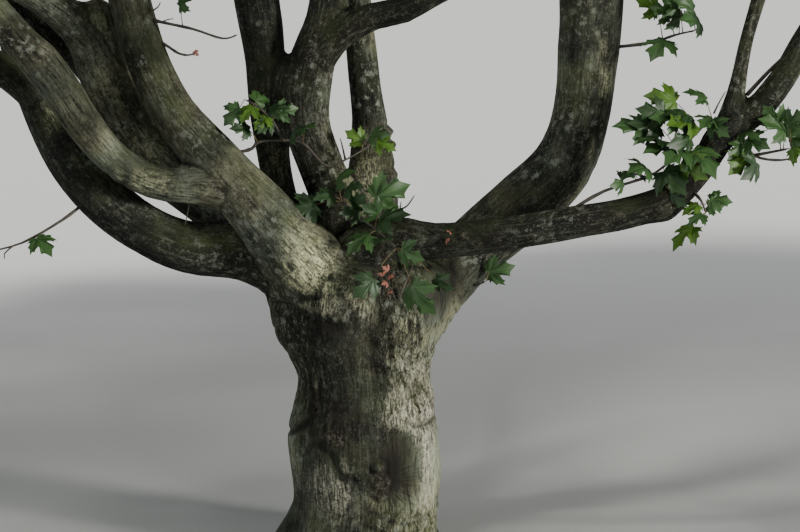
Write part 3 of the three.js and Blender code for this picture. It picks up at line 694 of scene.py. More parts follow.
def trunk_distance(places):
    """Distances from places to the trunk's skin, less inside."""
    z, middle, half, depth = trunk_at(places)
    x, y = places[:, 0] - middle, places[:, 1]
    fade = np.maximum(0, 1 - z / FLARE["height"])
    angle = np.arctan2(y / depth, x / half)
    lobe = FLARE["depth"] * fade * np.cos(FLARE["lobes"] * (angle + FLARE["turn"]))
    share = np.maximum(np.hypot(x / (half + lobe), y / (depth + lobe)), 1e-3)
    around = np.hypot(x, y) * (1 - 1 / share)
    return -smooth_min(-around, TRUNK[-1, 0] - places[:, 2], TRUNK_TOP_ROUND)


def trunk_way_out(places):
    """Roughly the outward directions from the trunk's middle, upwards near its top."""
    _, middle, half, depth = trunk_at(places)
    x, y = (places[:, 0] - middle) / half, places[:, 1] / depth
    flat = unit(np.stack([x / half, y / depth, 0 * x], 1))
    around = (np.hypot(x, y) - 1) * half
    upward = smooth(-TRUNK_TOP_ROUND, TRUNK_TOP_ROUND, places[:, 2] - TRUNK[-1, 0] - around)
    return unit(mix(flat, UP, upward[:, None]))


def limb_fields(places, wood, near):
    """For each limb near by: distances, nearest pieces, shares along them and ways out."""
    span = wood["span"][near]
    away = places[:, None] - wood["start"][near]
    raw = dot(away, span) / dot(span, span)
    t = np.clip(raw, 0, 1)
    away -= t[..., None] * span
    far = np.sqrt(dot(away, away)) - mix(wood["first"][near], wood["last"][near], t)
    numbers = wood["limb"][near]
    starts = np.flatnonzero(np.concatenate([[True], numbers[1:] != numbers[:-1]]))
    each = np.arange(len(places))
    fields = {}
    for first, last in zip(starts, [*starts[1:], len(near)]):
        column = first + far[:, first:last].argmin(axis=1)
        piece = near[column]
        behind = -raw[each, column] * wood["length"][piece] * (wood["along"][piece] == 0)
        ahead = 1 - smooth(0, BEHIND, behind / wood["first"][piece])
        way = unit(away[each, column])
        fields[numbers[first]] = (far[each, column], piece, t[each, column], way, ahead)
    return fields


def web_distance(web, places, fields):
    """Distances to the web of wood between two boughs that grow side by side before they part."""
    one, other = (fields[BOUGH_NAMES.index(name)][0] for name in web["limbs"])
    share = smooth(*web["from"], places[:, 2]) * smooth(*web["to"][::-1], places[:, 2])
    return smooth_min(one, other, 1 + web["width"] * share)


def wood_distance(places, wood, near, collars):
    """Distances from places to the skin of the wood, with collars where limbs leave others."""
    total = trunk = trunk_distance(places)
    fields = limb_fields(places, wood, near) if len(near) else {}
    trunk_way = trunk_way_out(places) if fields else None
    for number, (own, _, _, way, ahead) in fields.items():
        host, width = collars[number]
        if host is None:
            other, other_way = trunk, trunk_way
        elif host in fields:
            other, other_way = fields[host][0], fields[host][3]
        else:
            total = np.minimum(total, own)
            continue
        parted = np.clip((1 - dot(way, other_way)) * ahead, LEAST_COLLAR, 1)
        total = np.minimum(total, smooth_min(own, other, width * parted))
    for web in WEBS:
        if all(BOUGH_NAMES.index(name) in fields for name in web["limbs"]):
            total = np.minimum(total, web_distance(web, places, fields))
    return np.maximum(total, -places[:, 2])


def bark_blocks(wood, collars, grids):
    """Blocks of the grid that the skin may pass through, with the pieces of wood near each."""
    counts = [(len(grid) - 1) // CELLS for grid in grids]
    starts = [grid[:-1:CELLS][:count] for grid, count in zip(grids, counts)]
    stops = [grid[CELLS::CELLS][:count] for grid, count in zip(grids, counts)]
    near_any = np.zeros(counts, bool)
    middles = wood["start"] + wood["span"] / 2
    reach = np.maximum(wood["first"], wood["last"]) + COLLAR_REACH
    boxes = [(m - np.abs(s) / 2 - r, m + np.abs(s) / 2 + r)
             for m, s, r in zip(middles, wood["span"], reach)]
    boxes.append(TRUNK_BOX)
    for low, high in boxes:
        cut = [slice(np.searchsorted(stop, a), np.searchsorted(start, b))
               for start, stop, a, b in zip(starts, stops, low, high)]
        near_any[tuple(cut)] = True
    cells = np.argwhere(near_any)
    low = np.stack([starts[k][cells[:, k]] for k in range(3)], 1)
    high = np.stack([stops[k][cells[:, k]] for k in range(3)], 1)
    middle, radius = (low + high) / 2, np.linalg.norm(high - low, axis=1) / 2
    widest = max(width for _, width in collars)
    for cell, m, r in zip(cells, middle, radius):
        far = np.linalg.norm(middles - m, axis=1) - wood["length"] / 2 - reach
        near = np.flatnonzero(far < r + widest)
        here = wood_distance(m[None], wood, near, collars)[0]
        if abs(here) < r + widest / 4 or m[2] < r:
            yield cell, near


CORNERS = np.array([(i, j, k) for i in (0, 1) for j in (0, 1) for k in (0, 1)])
EDGES = [(a, b) for a in range(8) for b in range(a + 1, 8)
         if np.abs(CORNERS[a] - CORNERS[b]).sum() == 1]


def skin_cells(values, cell, grids):
    """One place for each grid cell that the skin passes through, and the cell's own number."""
    inside = values < 0
    count = sum(inside[i:i + CELLS, j:j + CELLS, k:k + CELLS].astype(int) for i, j, k in CORNERS)
    found = np.argwhere((count > 0) & (count < 8))
    if not len(found):
        return found, found.astype(float)
    at = found[:, None] + CORNERS
    corner = values[at[..., 0], at[..., 1], at[..., 2]]
    index = at + cell * CELLS
    places = np.stack([grids[k][index[..., k]] for k in range(3)], -1)
    total, number = np.zeros((len(found), 3)), np.zeros((len(found), 1))
    for a, b in EDGES:
        crossed = (corner[:, a] < 0) != (corner[:, b] < 0)
        gap = np.where(crossed, corner[:, a] - corner[:, b], 1)
        t = np.where(crossed, corner[:, a] / gap, 0)[:, None]
        total += np.where(crossed[:, None], mix(places[:, a], places[:, b], t), 0)
        number += crossed[:, None]
    return found + cell * CELLS, total / number


def skin_edges(values, cell):
    """Grid edges that the skin crosses: direction, lower end, and whether that end is inside."""
    inside = values < 0
    edges = []
    for axis in range(3):
        shift = [slice(0, CELLS)] * 3
        shift[axis] = slice(1, CELLS + 1)
        low = inside[:CELLS, :CELLS, :CELLS]
        crossed = np.argwhere(low != inside[tuple(shift)])
        solid_end = low[crossed[:, 0], crossed[:, 1], crossed[:, 2]]
        edges.append((crossed + cell * CELLS, solid_end))
    return edges


def skin_faces(edges, cells, shape):
    """Four-sided faces across the crossed edges, as numbers of the cells' places."""
    numbers = np.ravel_multi_index(cells.T, shape)
    order = np.argsort(numbers)
    ranked = numbers[order]
    faces = []
    for axis in range(3):
        ends = np.concatenate([block[axis][0] for block in edges])
        solid_end = np.concatenate([block[axis][1] for block in edges])
        one, two = (axis + 1) % 3, (axis + 2) % 3
        ring = []
        for a, b in ((-1, -1), (0, -1), (0, 0), (-1, 0)):
            around = ends.copy()
            around[:, one] += a
            around[:, two] += b
            wanted = np.ravel_multi_index(np.maximum(around, 0).T, shape)
            spot = np.minimum(np.searchsorted(ranked, wanted), len(ranked) - 1)
            found = (ranked[spot] == wanted) & (around >= 0).all(axis=1)
            ring.append(np.where(found, order[spot], -1))
        quads = np.stack(ring, 1)
        quads = np.where(solid_end[:, None], quads, quads[:, ::-1])
        faces.append(quads[(quads >= 0).all(axis=1)])
    return np.concatenate(faces)


def slope(places, wood, near, collars, step=2.5):
    """Distances at places and the directions in which they grow."""
    shifts = np.concatenate([[[0, 0, 0]], np.eye(3) * step, np.eye(3) * -step])
    around = (places + shifts[:, None]).reshape(-1, 3)
    values = wood_distance(around, wood, near, collars).reshape(7, -1)
    return values[0], (values[1:4] - values[4:7]).T / (2 * step)


def soft_tone(trunk, each, numbers):
    """The tone of the bark, with its painted sunlight and shade, shared softly between trunk and limbs where
    they meet.
    """
    tones = np.array([TRUNK_TONE] + [LIMB_TONES[number] for number in numbers])
    far = np.column_stack([trunk] + list(each))
    share = np.exp(-(far - far.min(axis=1, keepdims=True)).clip(0, TONE_FAR) / TONE_REACH)
    return (share * tones).sum(axis=1) / share.sum(axis=1)


def on_skin(places, wood, near, collars):
    """Places moved onto the skin, with its outward directions and their own place on the limb."""
    here, pull = slope(places, wood, near, collars)
    steep = np.maximum(dot(pull, pull), STEEP_LEAST)
    places = places - (here / steep)[:, None] * pull
    _, pull = slope(places, wood, near, collars)
    trunk, count = trunk_distance(places), len(places)
    _, middle, _, _ = trunk_at(places)
    rows = {
        "place": places, "normal": unit(pull), "limb": np.full(count, -1),
        "grain": np.stack([places[:, 0] - middle, places[:, 1], places[:, 2]], 1),
        "radius": np.full(count, TRUNK_RADIUS), "turn": np.zeros(count), "way": trunk_way_out(places),
        "crease": np.full(count, FAR), "parted": np.zeros(count), "tone": np.full(count, TRUNK_TONE),
    }
    if not len(near):
        return rows
    fields = limb_fields(places, wood, near)
    rows["tone"] = soft_tone(trunk, [field[0] for field in fields.values()], fields)
    best = trunk.copy()
    for number, (own, piece, share, way, _) in fields.items():
        closer = own < best
        parted = 1 - dot(way, rows["way"])
        second = np.abs(own - best) < rows["crease"]
        rows["parted"] = np.where(second, parted, rows["parted"])
        rows["crease"] = np.where(closer | second, np.abs(own - best), rows["crease"])
        best = np.minimum(best, own)
        away = places - wood["start"][piece] - share[:, None] * wood["span"][piece]
        side = wood["side"][piece]
        other = np.cross(wood["ray"][piece], side)
        along = wood["along"][piece] + share * wood["length"][piece] + GRAIN_START * (number + 1)
        own_rows = {
            "grain": np.stack([dot(away, side), dot(away, other), along], 1), "way": way,
            "limb": np.full(count, number), "turn": wood["turn"][piece],
            "radius": mix(wood["first"][piece], wood["last"][piece], share),
        }
        for key, values in own_rows.items():
            chosen = closer[:, None] if values.ndim == 2 else closer
            rows[key] = np.where(chosen, values, rows[key])
    return rows


def grow_skin(limbs):
    """The skin of trunk and limbs: its places, faces and each place's part in the grain."""
    wood = wood_pieces(limbs)
    names = [limb["name"] for limb in limbs]
    collars = []
    for limb in limbs:
        host = None if limb["leaves"] is None else names.index(limb["leaves"])
        collars.append((host, COLLARS.get(limb["name"], COLLAR) * limb["rows"][0][3]))
    rows = np.vstack([limb["rows"][:, :3] for limb in limbs])
    low, high = rows.min(axis=0) - SKIN_MARGIN, rows.max(axis=0) + SKIN_MARGIN
    coarse = (COARSE["flat"], COARSE["flat"], COARSE["up"])
    ranges = zip(low, high, FINE_FROM, FINE_TO, coarse, FINEST_ZONES)
    grids = [grid_lines(*row) for row in ranges]
    cells, edges, skins = [], [], []
    for cell, near in bark_blocks(wood, collars, grids):
        lines = [grid[c * CELLS:(c + 1) * CELLS + 1] for grid, c in zip(grids, cell)]
        places = np.stack(np.meshgrid(*lines, indexing="ij"), -1)
        values = wood_distance(places.reshape(-1, 3), wood, near, collars).reshape(places.shape[:3])
        found, middles = skin_cells(values, cell, grids)
        if len(found):
            cells.append(found)
            edges.append(skin_edges(values, cell))
            skins.append(on_skin(middles, wood, near, collars))
    faces = skin_faces(edges, np.concatenate(cells), [len(grid) for grid in grids])
    return {key: np.concatenate([skin[key] for skin in skins]) for key in skins[0]}, faces


# Bark relief and marks

# Relief: lumps by the limb's radius, ridges and fissures along the grain, scales, scabs and wrinkles
LUMP = {"size": 95, "share": 0.035, "seed": 3}
RIDGE = {"cell": (11, 11, 120), "height": 1.0, "seed": 5}
FISSURE = {"cell": (17, 17, 190), "narrow": (0.72, 1), "depth": 5.0, "dark": 0.3, "seed": 9}
SCALE = {"cell": (11, 11, 26), "height": 2.4, "seed": 21}
SCAB = {"size": 7, "height": 3.5, "seed": 17}
WRINKLE = {
    "step": 27, "height": 1.1, "turn": (0.02, 0.12), "per_turn": 0.022, "sway": 0.7, "sway_size": 60,
    "seed": 13,
}
# Painted shade in the creases where limbs meet at a wide angle
CREASE_SHADE = {"dark": 0.8, "wide": 10, "parted": (0.35, 1.1)}
# How far the bark faces the front, as the y of its normal, where marks and tones of the front fade in
FRONT = {"marks": (0.4, -0.15), "tone": (0.4, -0.1)}
# A small raised mark has a groove round it, darkened with painted shade
GROOVE = {"under": 25, "at": 1.6, "wide": 0.4, "depth": 0.35, "dark": 0.3}
# How worn and how flaky the bark is: the trunk's least and what scaly bark adds, and the limbs'
WORN = {"trunk": (0.2, 0.8), "limb": 0.12}
FLAKY = {"trunk": (0.12, 0.88), "limb": 0.16}

# Scaly zones of the trunk: how scaly, and the x and the z over which each fades in
SCALY = [(1.0, (0, 60), (270, 390)), (0.75, (-60, -130), (310, 380)), (0.8, (-20, 30), (150, 100))]
# Where the first of them fades out again
SCALY_END = ((120, 160), (500, 560))

# Painted sunlight, warmer and lighter, on the right of the trunk's front, painted shade on its upper left,
# and painted light on the limbs' right sides
PAINTED_SUN = {"share": 0.85, "left": (50, 120), "right": (260, 200), "top": (760, 640)}
PAINTED_SHADE = {"share": 0.2, "x": (30, -60), "z": (330, 420)}
PAINTED_SIDE_LIGHT = {"share": 0.2, "turn": (0.35, 0.9)}

# Round marks on the front of each limb: x, z, half sizes, height, darkness, roughness. Beside knots and
# scabs, many wide flat marks are painted sunlight (darkness below zero) or painted shade (above zero).
SPOTS = {
    "trunk": [
        (33, 238, 14, 14, 15, -0.2, 0.4), (20, 214, 9, 11, 7, -0.05, 0.8), (40, 211, 10, 9, 9, -0.15, 0.8),
        (54, 199, 8, 11, 7, 0, 0.8), (30, 193, 11, 8, 9, -0.1, 0.8), (46, 181, 9, 8, 8, -0.1, 0.8),
        (22, 176, 9, 9, 6, 0, 0.8), (38, 165, 11, 8, 9, -0.1, 0.8), (-96, 450, 80, 150, 0, 0.3, 0),
        (-60, 350, 80, 50, 0, 0.25, 0), (-60, 575, 90, 60, 0, 0.22, 0), (28, 478, 18, 16, -8, 0.5, 0.5),
        (150, 250, 28, 150, 8, -0.75, 0), (60, 375, 40, 44, 0, -0.4, 0.2), (150, 385, 18, 34, 8, -0.2, 0.3),
        (96, 352, 44, 34, 8, -0.3, 0.4), (-80, 190, 62, 100, 17, -0.45, 0),
        (-67, 312, 24, 13, -4, 0.45, 1.0), (-30, 395, 70, 70, -6, 0.34, 0), (-150, 350, 46, 90, 0, 0.3, 0),
        (36, 200, 42, 64, 0, 0.66, 0), (112, 440, 46, 66, 0, -0.65, 0), (128, 360, 50, 46, 0, -0.45, 0),
        (100, 560, 34, 60, 0, -0.2, 0), (-40, 664, 54, 62, 0, -0.22, 0), (-110, 628, 76, 34, 0, -0.36, 0),
        (2, 606, 50, 72, 0, -0.38, 0.2), (165, 612, 52, 72, 0, 0.56, 0), (-160, 636, 60, 24, 0, -0.22, 0),
        (72, 698, 26, 50, -4, 0.6, 1.0), (210, 680, 60, 60, 0, 0.72, 0), (-125, 410, 9, 60, 5, -0.1, 0.6),
        (-136, 730, 64, 74, 8, -0.5, 0), (-126, 736, 44, 46, 0, -0.5, 0), (-85, 707, 6, 6, -4, 1.0, 0),
        (-150, 560, 90, 36, -6, 0.3, 0),
    ],
    "right": [
        (172, 640, 60, 66, 0, 0.56, 0), (215, 690, 60, 60, 0, 0.72, 0), (530, 1012, 16, 20, 9, 0.1, 0.4),
        (512, 1000, 26, 24, -3, 0.45, 0), (560, 1004, 16, 44, 6, -0.45, 0),
        (592, 1180, 20, 130, 0, -0.35, 0), (604, 1165, 20, 34, 2, -0.3, 0), (510, 943, 17, 16, 9, 0.1, 0.4),
    ],
    "rear": [
        (-4, 920, 60, 90, 0, -0.42, 0.3), (62, 1038, 12, 13, 14, 0.2, 0.6),
        (70, 1007, 12, 13, 16, 0.2, 0.6), (64, 929, 13, 12, 13, 0.2, 0.6), (62, 842, 14, 13, 13, 0.2, 0.6),
    ],
    "centre": [
        (-10, 915, 60, 80, 0, -0.42, 0.3), (-106, 1021, 11, 11, 5, 0.4, 0.4),
    ],
    "back_upright": [
        (-215, 955, 50, 110, 0, -0.36, 0),
    ],
    "shoulder": [
        (-250, 613, 42, 42, 14, -0.1, 0), (-136, 730, 64, 74, 8, -0.62, 0), (-126, 736, 44, 46, 0, -0.4, 0),
        (-166, 806, 38, 66, 0, -0.36, 0), (-380, 996, 64, 60, 0, 0.5, 0), (-262, 790, 50, 66, 0, 0.3, 0),
        (-470, 1110, 54, 96, 0, 0.34, 0), (-560, 1330, 75, 170, 0, 0.28, 0), (-85, 707, 6, 6, -4, 1.0, 0),
    ],
    "front_left": [
        (-390, 930, 44, 40, 0, 0.3, 0), (-768, 1250, 42, 40, 8, 0, 0.1), (-602, 962, 16, 20, 8, 0, 0.2),
        (-391, 923, 20, 20, 5, -0.1, 0.1), (-527, 940, 80, 36, 0, -0.35, 0),
    ],
    "back_left": [
        (-540, 994, 80, 70, 0, -0.4, 0), (-660, 1180, 70, 120, 0, -0.2, 0),
    ],
    "back_left_stub": [
        (-676, 1300, 60, 70, 0, -0.3, 0), (-676, 1362, 46, 24, 0, 0.15, 1.0),
    ],
    "low_left": [
        (-775, 1091, 22, 46, 0, -0.45, 0),
    ],
    "level": [
        (239, 812, 13, 12, 6, 0.1, 0.6), (268, 790, 12, 12, 6, 0.1, 0.6), (612, 862, 14, 12, 5, 0.2, 0.6),
        (728, 868, 42, 30, 14, 0, 0.1),
    ],
}

# Folds on the front of each limb: places they run through as x and z, half width, height, darkness, which is
# painted shade along the fold
FOLDS = {
    "trunk": [
        ([(46, 474), (20, 486), (18, 540), (36, 622), (52, 668)], 15, -8, 0.5),
        ([(-192, 298), (-172, 318), (-139, 343), (-126, 374), (-130, 420)], 7, -10, 0.8),
        ([(-112, 290), (-81, 267), (-60, 219), (-28, 208)], 9, -6, 0.6),
        ([(-28, 208), (-10, 160), (-2, 110)], 12, -5, 0.3),
        ([(-104, 398), (-70, 394), (-44, 400)], 4, -2, 0.25),
        ([(-104, 380), (-70, 375), (-48, 380)], 4, -2, 0.25),
        ([(-52, 640), (-6, 580), (14, 540)], 18, -8, 0.3),
        ([(64, 640), (60, 560), (64, 500), (84, 462)], 6, -6, 0.6),
        ([(110, 600), (108, 560), (114, 520)], 5, -5, 0.7), ([(132, 585), (134, 535)], 5, -5, 0.7),
        ([(84, 460), (112, 425), (128, 385)], 6, -6, 0.6),
        ([(134, 432), (150, 405), (160, 370)], 6, -6, 0.7),
        ([(96, 350), (120, 330), (150, 332), (174, 340)], 5, -5, 0.6),
        ([(10, 126), (60, 96), (110, 88), (165, 102)], 6, -5, 0.45),
        ([(-10, 96), (40, 70), (100, 58), (160, 66)], 6, -5, 0.45),
        ([(-164, 664), (-142, 655), (-118, 660)], 5, -5, 0.6),
        ([(-96, 600), (-74, 594), (-52, 600)], 5, -4, 0.5),
        ([(-262, 662), (-214, 645), (-150, 608), (-67, 584)], 14, -9, 0.45),
    ],
    "shoulder": [
        ([(-239, 690), (-152, 650), (-49, 636)], 12, -6, 0.35),
        ([(-164, 664), (-142, 655), (-118, 660)], 5, -5, 0.6),
        ([(-604, 1380), (-590, 1290), (-560, 1190), (-522, 1110), (-470, 1050)], 26, 0, 0.2),
    ],
    "low_left": [
        ([(-693, 905), (-679, 932), (-650, 950)], 8, -4, 0.6),
    ],
    "right": [
        ([(190, 640), (215, 700), (205, 760)], 9, -4, 0.3),
    ],
    "centre": [
        ([(-170, 1195), (-130, 1172), (-92, 1178)], 4, -3, 0.6),
    ],
}

# The hollow right of the knots: its middle, half sizes, depth and darkness, which is painted shade, and the
# knots' middle
HOLLOW = {
    "x": 86, "z": 238, "lean": 0.16, "across": 54, "up": 98, "depth": 11, "dark": 0.64,
    "right": (1.12, 0.66), "left": (1.15, 0.3),
}
KNOTS = {"x": 38, "z": 200, "near": (16, 40), "far": (135, 60), "side": (-0.35, 0.25), "below": 0.7}


def hollow_share(x, z):
    """How deep each place is in the leaning hollow: sharp on its right and soft on its left."""
    up = z - HOLLOW["z"]
    across = x - HOLLOW["x"] + HOLLOW["lean"] * up
    far = np.hypot(across / HOLLOW["across"], up / HOLLOW["up"])
    return np.where(across > 0, smooth(*HOLLOW["right"], far), smooth(*HOLLOW["left"], far))


def knot_share(x, z):
    """How much the bark wrinkles away from the knots, to their right and below them."""
    across, up = x - KNOTS["x"], z - KNOTS["z"]
    far = np.maximum(np.hypot(across, up), 1)
    side = smooth(*KNOTS["side"], (across - KNOTS["below"] * up) / far)
    return smooth(*KNOTS["near"], far) * smooth(*KNOTS["far"], far) * side


def scaly_share(x, z):
    """How scaly the trunk's bark is."""
    zones = [share * smooth(*over_x, x) * smooth(*over_z, z) for share, over_x, over_z in SCALY]
    end_x, end_z = SCALY_END
    zones[0] *= 1 - smooth(*end_z, z) * smooth(*end_x, x)
    return np.maximum.reduce(zones)


def noise(places, seed):
    """Smooth seeded noise from -1 to 1."""
    cell = np.floor(places).astype(np.int64)
    t = places - cell
    t = t * t * (3 - 2 * t)
    total = np.zeros(len(places))
    for corner in CORNERS:
        key = (cell + corner) @ np.array([73856093, 19349663, 83492791]) + seed * 1013904223
        key = (key ^ (key >> 13)) * 1274126177
        key = (key ^ (key >> 16)) & 0xFFFFFF
        total += np.where(corner, t, 1 - t).prod(axis=1) * (key / 0x7FFFFF - 1)
    return total


def from_line(x, z, points):
    """Distances in the front view from places to a line through points."""
    places = np.stack([x, z], 1)
    best = np.full(len(x), np.inf)
    for a, b in zip(points, points[1:]):
        a, b = np.array(a, float), np.array(b, float)
        t = np.clip((places - a) @ (b - a) / ((b - a) @ (b - a)), 0, 1)
        best = np.minimum(best, np.linalg.norm(places - a - t[:, None] * (b - a), axis=1))
    return best


def on_limb(skin, name, names):
    """How much each place belongs to the front of a limb."""
    here = skin["limb"] == (-1 if name == "trunk" else names.index(name))
    return here * smooth(*FRONT["marks"], skin["normal"][:, 1])


def relief(skin, limbs):
    """Heights of the bark's relief, and how dark, rough, bent and warm it is, where the darkness and warmth
    also carry painted sunlight and shade.
    """
    names = [limb["name"] for limb in limbs]
    place, normal, grain = skin["place"], skin["normal"], skin["grain"]
    x, z = place[:, 0], place[:, 2]
    trunk = skin["limb"] == -1
    height = LUMP["share"] * skin["radius"] * noise(place / LUMP["size"], LUMP["seed"])
    height += RIDGE["height"] * noise(grain / RIDGE["cell"], RIDGE["seed"])
    crack = 1 - np.abs(noise(grain / FISSURE["cell"], FISSURE["seed"]))
    crack = smooth(*FISSURE["narrow"], crack)
    scaly = scaly_share(x, z)
    least, more = WORN["trunk"]
    worn = np.where(trunk, least + more * scaly, WORN["limb"])
    height -= FISSURE["depth"] * worn * crack
    bend = smooth(*WRINKLE["turn"], WRINKLE["per_turn"] * skin["turn"]) * ~trunk
    sway = WRINKLE["sway"] * noise(place / WRINKLE["sway_size"], WRINKLE["seed"])
    height += WRINKLE["height"] * bend * np.sin(2 * math.pi * (grain[:, 2] / WRINKLE["step"] + sway))
    dark = FISSURE["dark"] * worn * crack
    # Painted shade in the creases between limbs
    crease = CREASE_SHADE["dark"] * np.exp(-skin["crease"] / CREASE_SHADE["wide"])
    dark += crease * smooth(*CREASE_SHADE["parted"], skin["parted"])
    rough = np.zeros(len(x))
    for name, spots in SPOTS.items():
        front = on_limb(skin, name, names)
        for x0, z0, across, up, tall, darker, rougher in spots:
            far = np.hypot((x - x0) / across, (z - z0) / up)
            share = np.exp(-far * far) * front
            ring = np.exp(-((far - GROOVE["at"]) / GROOVE["wide"]) ** 2) * front
            small = across < GROOVE["under"] and tall > 0
            height += tall * (share - GROOVE["depth"] * ring * small)
            # Painted sunlight and shade from the marks, and painted shade in the grooves round small raised
            # ones
            dark += darker * share + GROOVE["dark"] * ring * small
            rough = np.maximum(rough, rougher * share)
    for name, folds in FOLDS.items():
        front = on_limb(skin, name, names)
        for points, wide, tall, darker in folds:
            share = np.exp(-(from_line(x, z, points) / wide) ** 2) * front
            height += tall * share
            # Painted shade along the folds
            dark += darker * share
    height += SCAB["height"] * rough * noise(place / SCAB["size"], SCAB["seed"])
    flakes = noise(grain / SCALE["cell"], SCALE["seed"])
    height += SCALE["height"] * np.where(trunk, scaly, 0) * flakes
    front = on_limb(skin, "trunk", names)
    hollow = hollow_share(x, z) * front
    height -= HOLLOW["depth"] * hollow
    # Painted shade in the hollow
    dark += HOLLOW["dark"] * hollow
    # Painted sunlight and shade on the trunk's front and painted light on the limbs' right sides go into the
    # tone
    lit = smooth(*PAINTED_SUN["left"], x) * smooth(*PAINTED_SUN["top"], z) * smooth(*PAINTED_SUN["right"], x)
    lit = PAINTED_SUN["share"] * lit - PAINTED_SHADE["share"] * smooth(*PAINTED_SHADE["x"], x) * smooth(*PAINTED_SHADE["z"], z)
    tone = skin["tone"] + lit * smooth(*FRONT["tone"], normal[:, 1]) * (z < PAINTED_SUN["top"][0])
    tone += PAINTED_SIDE_LIGHT["share"] * smooth(*PAINTED_SIDE_LIGHT["turn"], normal[:, 0]) * ~trunk
    least, more = FLAKY["trunk"]
    facts = {
        "dark": dark, "rough": rough, "bend": bend, "tone": tone, "hollow": hollow,
        "flaky": np.where(trunk, least + more * scaly, FLAKY["limb"]), "knotty": knot_share(x, z) * front,
    }
    return height, {**facts, "grain": grain * MM}


# Meshes

# Tubes steeper than this are turned by the x axis, others by the z axis
STEEP_TUBE = 0.8
# How many sides each kind of tube has
SIDES = {"stem": 5, "twig": 4, "shoot": 3, "sprig_twig": 8, "spur": 7, "stalk": 5}


def add_piece(name, points, faces, material, slot, nodes, facts=None, normals=None):
    """A mesh piece that rides on the root and replaces nodes of the solid model."""
    mesh = bpy.data.meshes.new(name)
    mesh.vertices.add(len(points))
    mesh.vertices.foreach_set("co", (points * MM).astype(np.float32).ravel())
    mesh.loops.add(faces.size)
    mesh.loops.foreach_set("vertex_index", faces.astype(np.int32).ravel())
    mesh.polygons.add(len(faces))
    starts = np.arange(0, faces.size, faces.shape[1], dtype=np.int32)
    mesh.polygons.foreach_set("loop_start", starts)
    mesh.polygons.foreach_set("use_smooth", np.ones(len(faces), bool))
    for key, values in (facts or {}).items():
        kind, field = ("FLOAT", "value") if values.ndim == 1 else ("FLOAT_VECTOR", "vector")
        layer = mesh.attributes.new(key, kind, "POINT")
        layer.data.foreach_set(field, values.astype(np.float32).ravel())
    mesh.update(calc_edges=True)
    if normals is not None:
        mesh.normals_split_custom_set_from_vertices(normals.tolist())
    mesh.materials.append(material)
    piece = add_object(name, mesh)
    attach(piece, "root")
    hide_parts(*nodes)
    return piece


def vertex_normals(points, faces):
    """Normals at the places of a mesh of four-sided faces."""
    corners = points[faces]
    lines = np.cross(corners[:, 2] - corners[:, 0], corners[:, 3] - corners[:, 1])
    total = np.zeros_like(points)
    for k in range(4):
        np.add.at(total, faces[:, k], lines)
    return unit(total)


def add_bark(limbs, material):
    """The skin with its relief, in three pieces: trunk, boughs and the limbs above them."""
    skin, faces = grow_skin(limbs)
    height, facts = relief(skin, limbs)
    low = skin["place"][:, 2] < GROUND_CELLS * FINE
    points = skin["place"] + skin["normal"] * (height * ~low)[:, None]
    points[low, 2] = 0
    points[:, 2] = np.maximum(points[:, 2], 0)
    normals = vertex_normals(points, faces)
    level = skin["place"][faces, 2].mean(axis=1)
    lower, upper = level < PIECE_LEVELS[0], level > PIECE_LEVELS[1]
    boughs = [node for limb in limbs for node in limb["nodes"] if not node.startswith("limb")]
    side_limbs = [node for limb in limbs for node in limb["nodes"] if node.startswith("limb")]
    parts = (
        ("bark_trunk", lower, ["trunk"]),
        ("bark_boughs", ~upper & ~lower, boughs),
        ("bark_limbs", upper, side_limbs),
    )
    for name, chosen, nodes in parts:
        used, renamed = np.unique(faces[chosen], return_inverse=True)
        chosen_facts = {key: values[used] for key, values in facts.items()}
        shape = renamed.reshape(-1, 4)
        add_piece(name, points[used], shape, material, "bark", nodes, chosen_facts, normals[used])


def tube_skins(lines, radii, sides):
    """Pointed tubes round lines of places, all of one count: their points and triangles."""
    count, steps = radii.shape
    ends = np.concatenate([lines[:, :1], lines, lines[:, -1:]], axis=1)
    rays = unit(ends[:, 2:] - ends[:, :-2])[:, :-1]
    whole = unit(lines[:, -1] - lines[:, 0])
    flat = np.where(np.abs(whole[:, 2:]) < STEEP_TUBE, UP, np.array([1.0, 0, 0]))
    side = unit(np.cross(rays, flat[:, None]))
    other = np.cross(rays, side)
    turns = 2 * math.pi * np.arange(sides) / sides
    ring = side[:, :, None] * np.cos(turns)[:, None] + other[:, :, None] * np.sin(turns)[:, None]
    rings = lines[:, :-1, None] + ring * radii[:, :-1, None, None]
    points = np.concatenate([rings.reshape(count, -1, 3), lines[:, -1:]], axis=1)
    faces = [(0, k, k + 1) for k in range(1, sides - 1)]
    for row in range(steps - 2):
        for k in range(sides):
            a, b = row * sides + k, row * sides + (k + 1) % sides
            faces += [(a, a + sides, b), (b, a + sides, b + sides)]
    last, tip = (steps - 2) * sides, (steps - 1) * sides
    faces += [(last + k, tip, last + (k + 1) % sides) for k in range(sides)]
    faces = np.array(faces) + np.arange(count)[:, None, None] * points.shape[1]
    return points.reshape(-1, 3), faces.reshape(-1, 3)


def joined_tubes(tubes):
    """All tubes in one mesh. Each tube has a line of places, radii and a count of sides."""
    groups = {}
    for line, radii, sides in tubes:
        groups.setdefault((len(line), sides), []).append((line, radii))
    points, faces, total = [], [], 0
    for (_, sides), members in groups.items():
        lines = np.array([line for line, _ in members])
        radii = np.array([radius for _, radius in members])
        some, around = tube_skins(lines, radii, sides)
        points.append(some)
        faces.append(around + total)
        total += len(some)
    return np.concatenate(points), np.concatenate(faces)


# Crown: the source's twigs, finer ones by the same rule, and a spray on each

# Finer sprays: how many, shares of the mass's reach, size, least distance, and room past the mass
FINE_SPRAYS = {
    "count": 36, "shares": (0.38, 0.97), "power": 0.7, "tries": 3, "let_in": 0.1, "scale": 0.58,
    "least": 70, "more": 130,
}
LOAD = {"large": 1.0, "fine": 0.35}
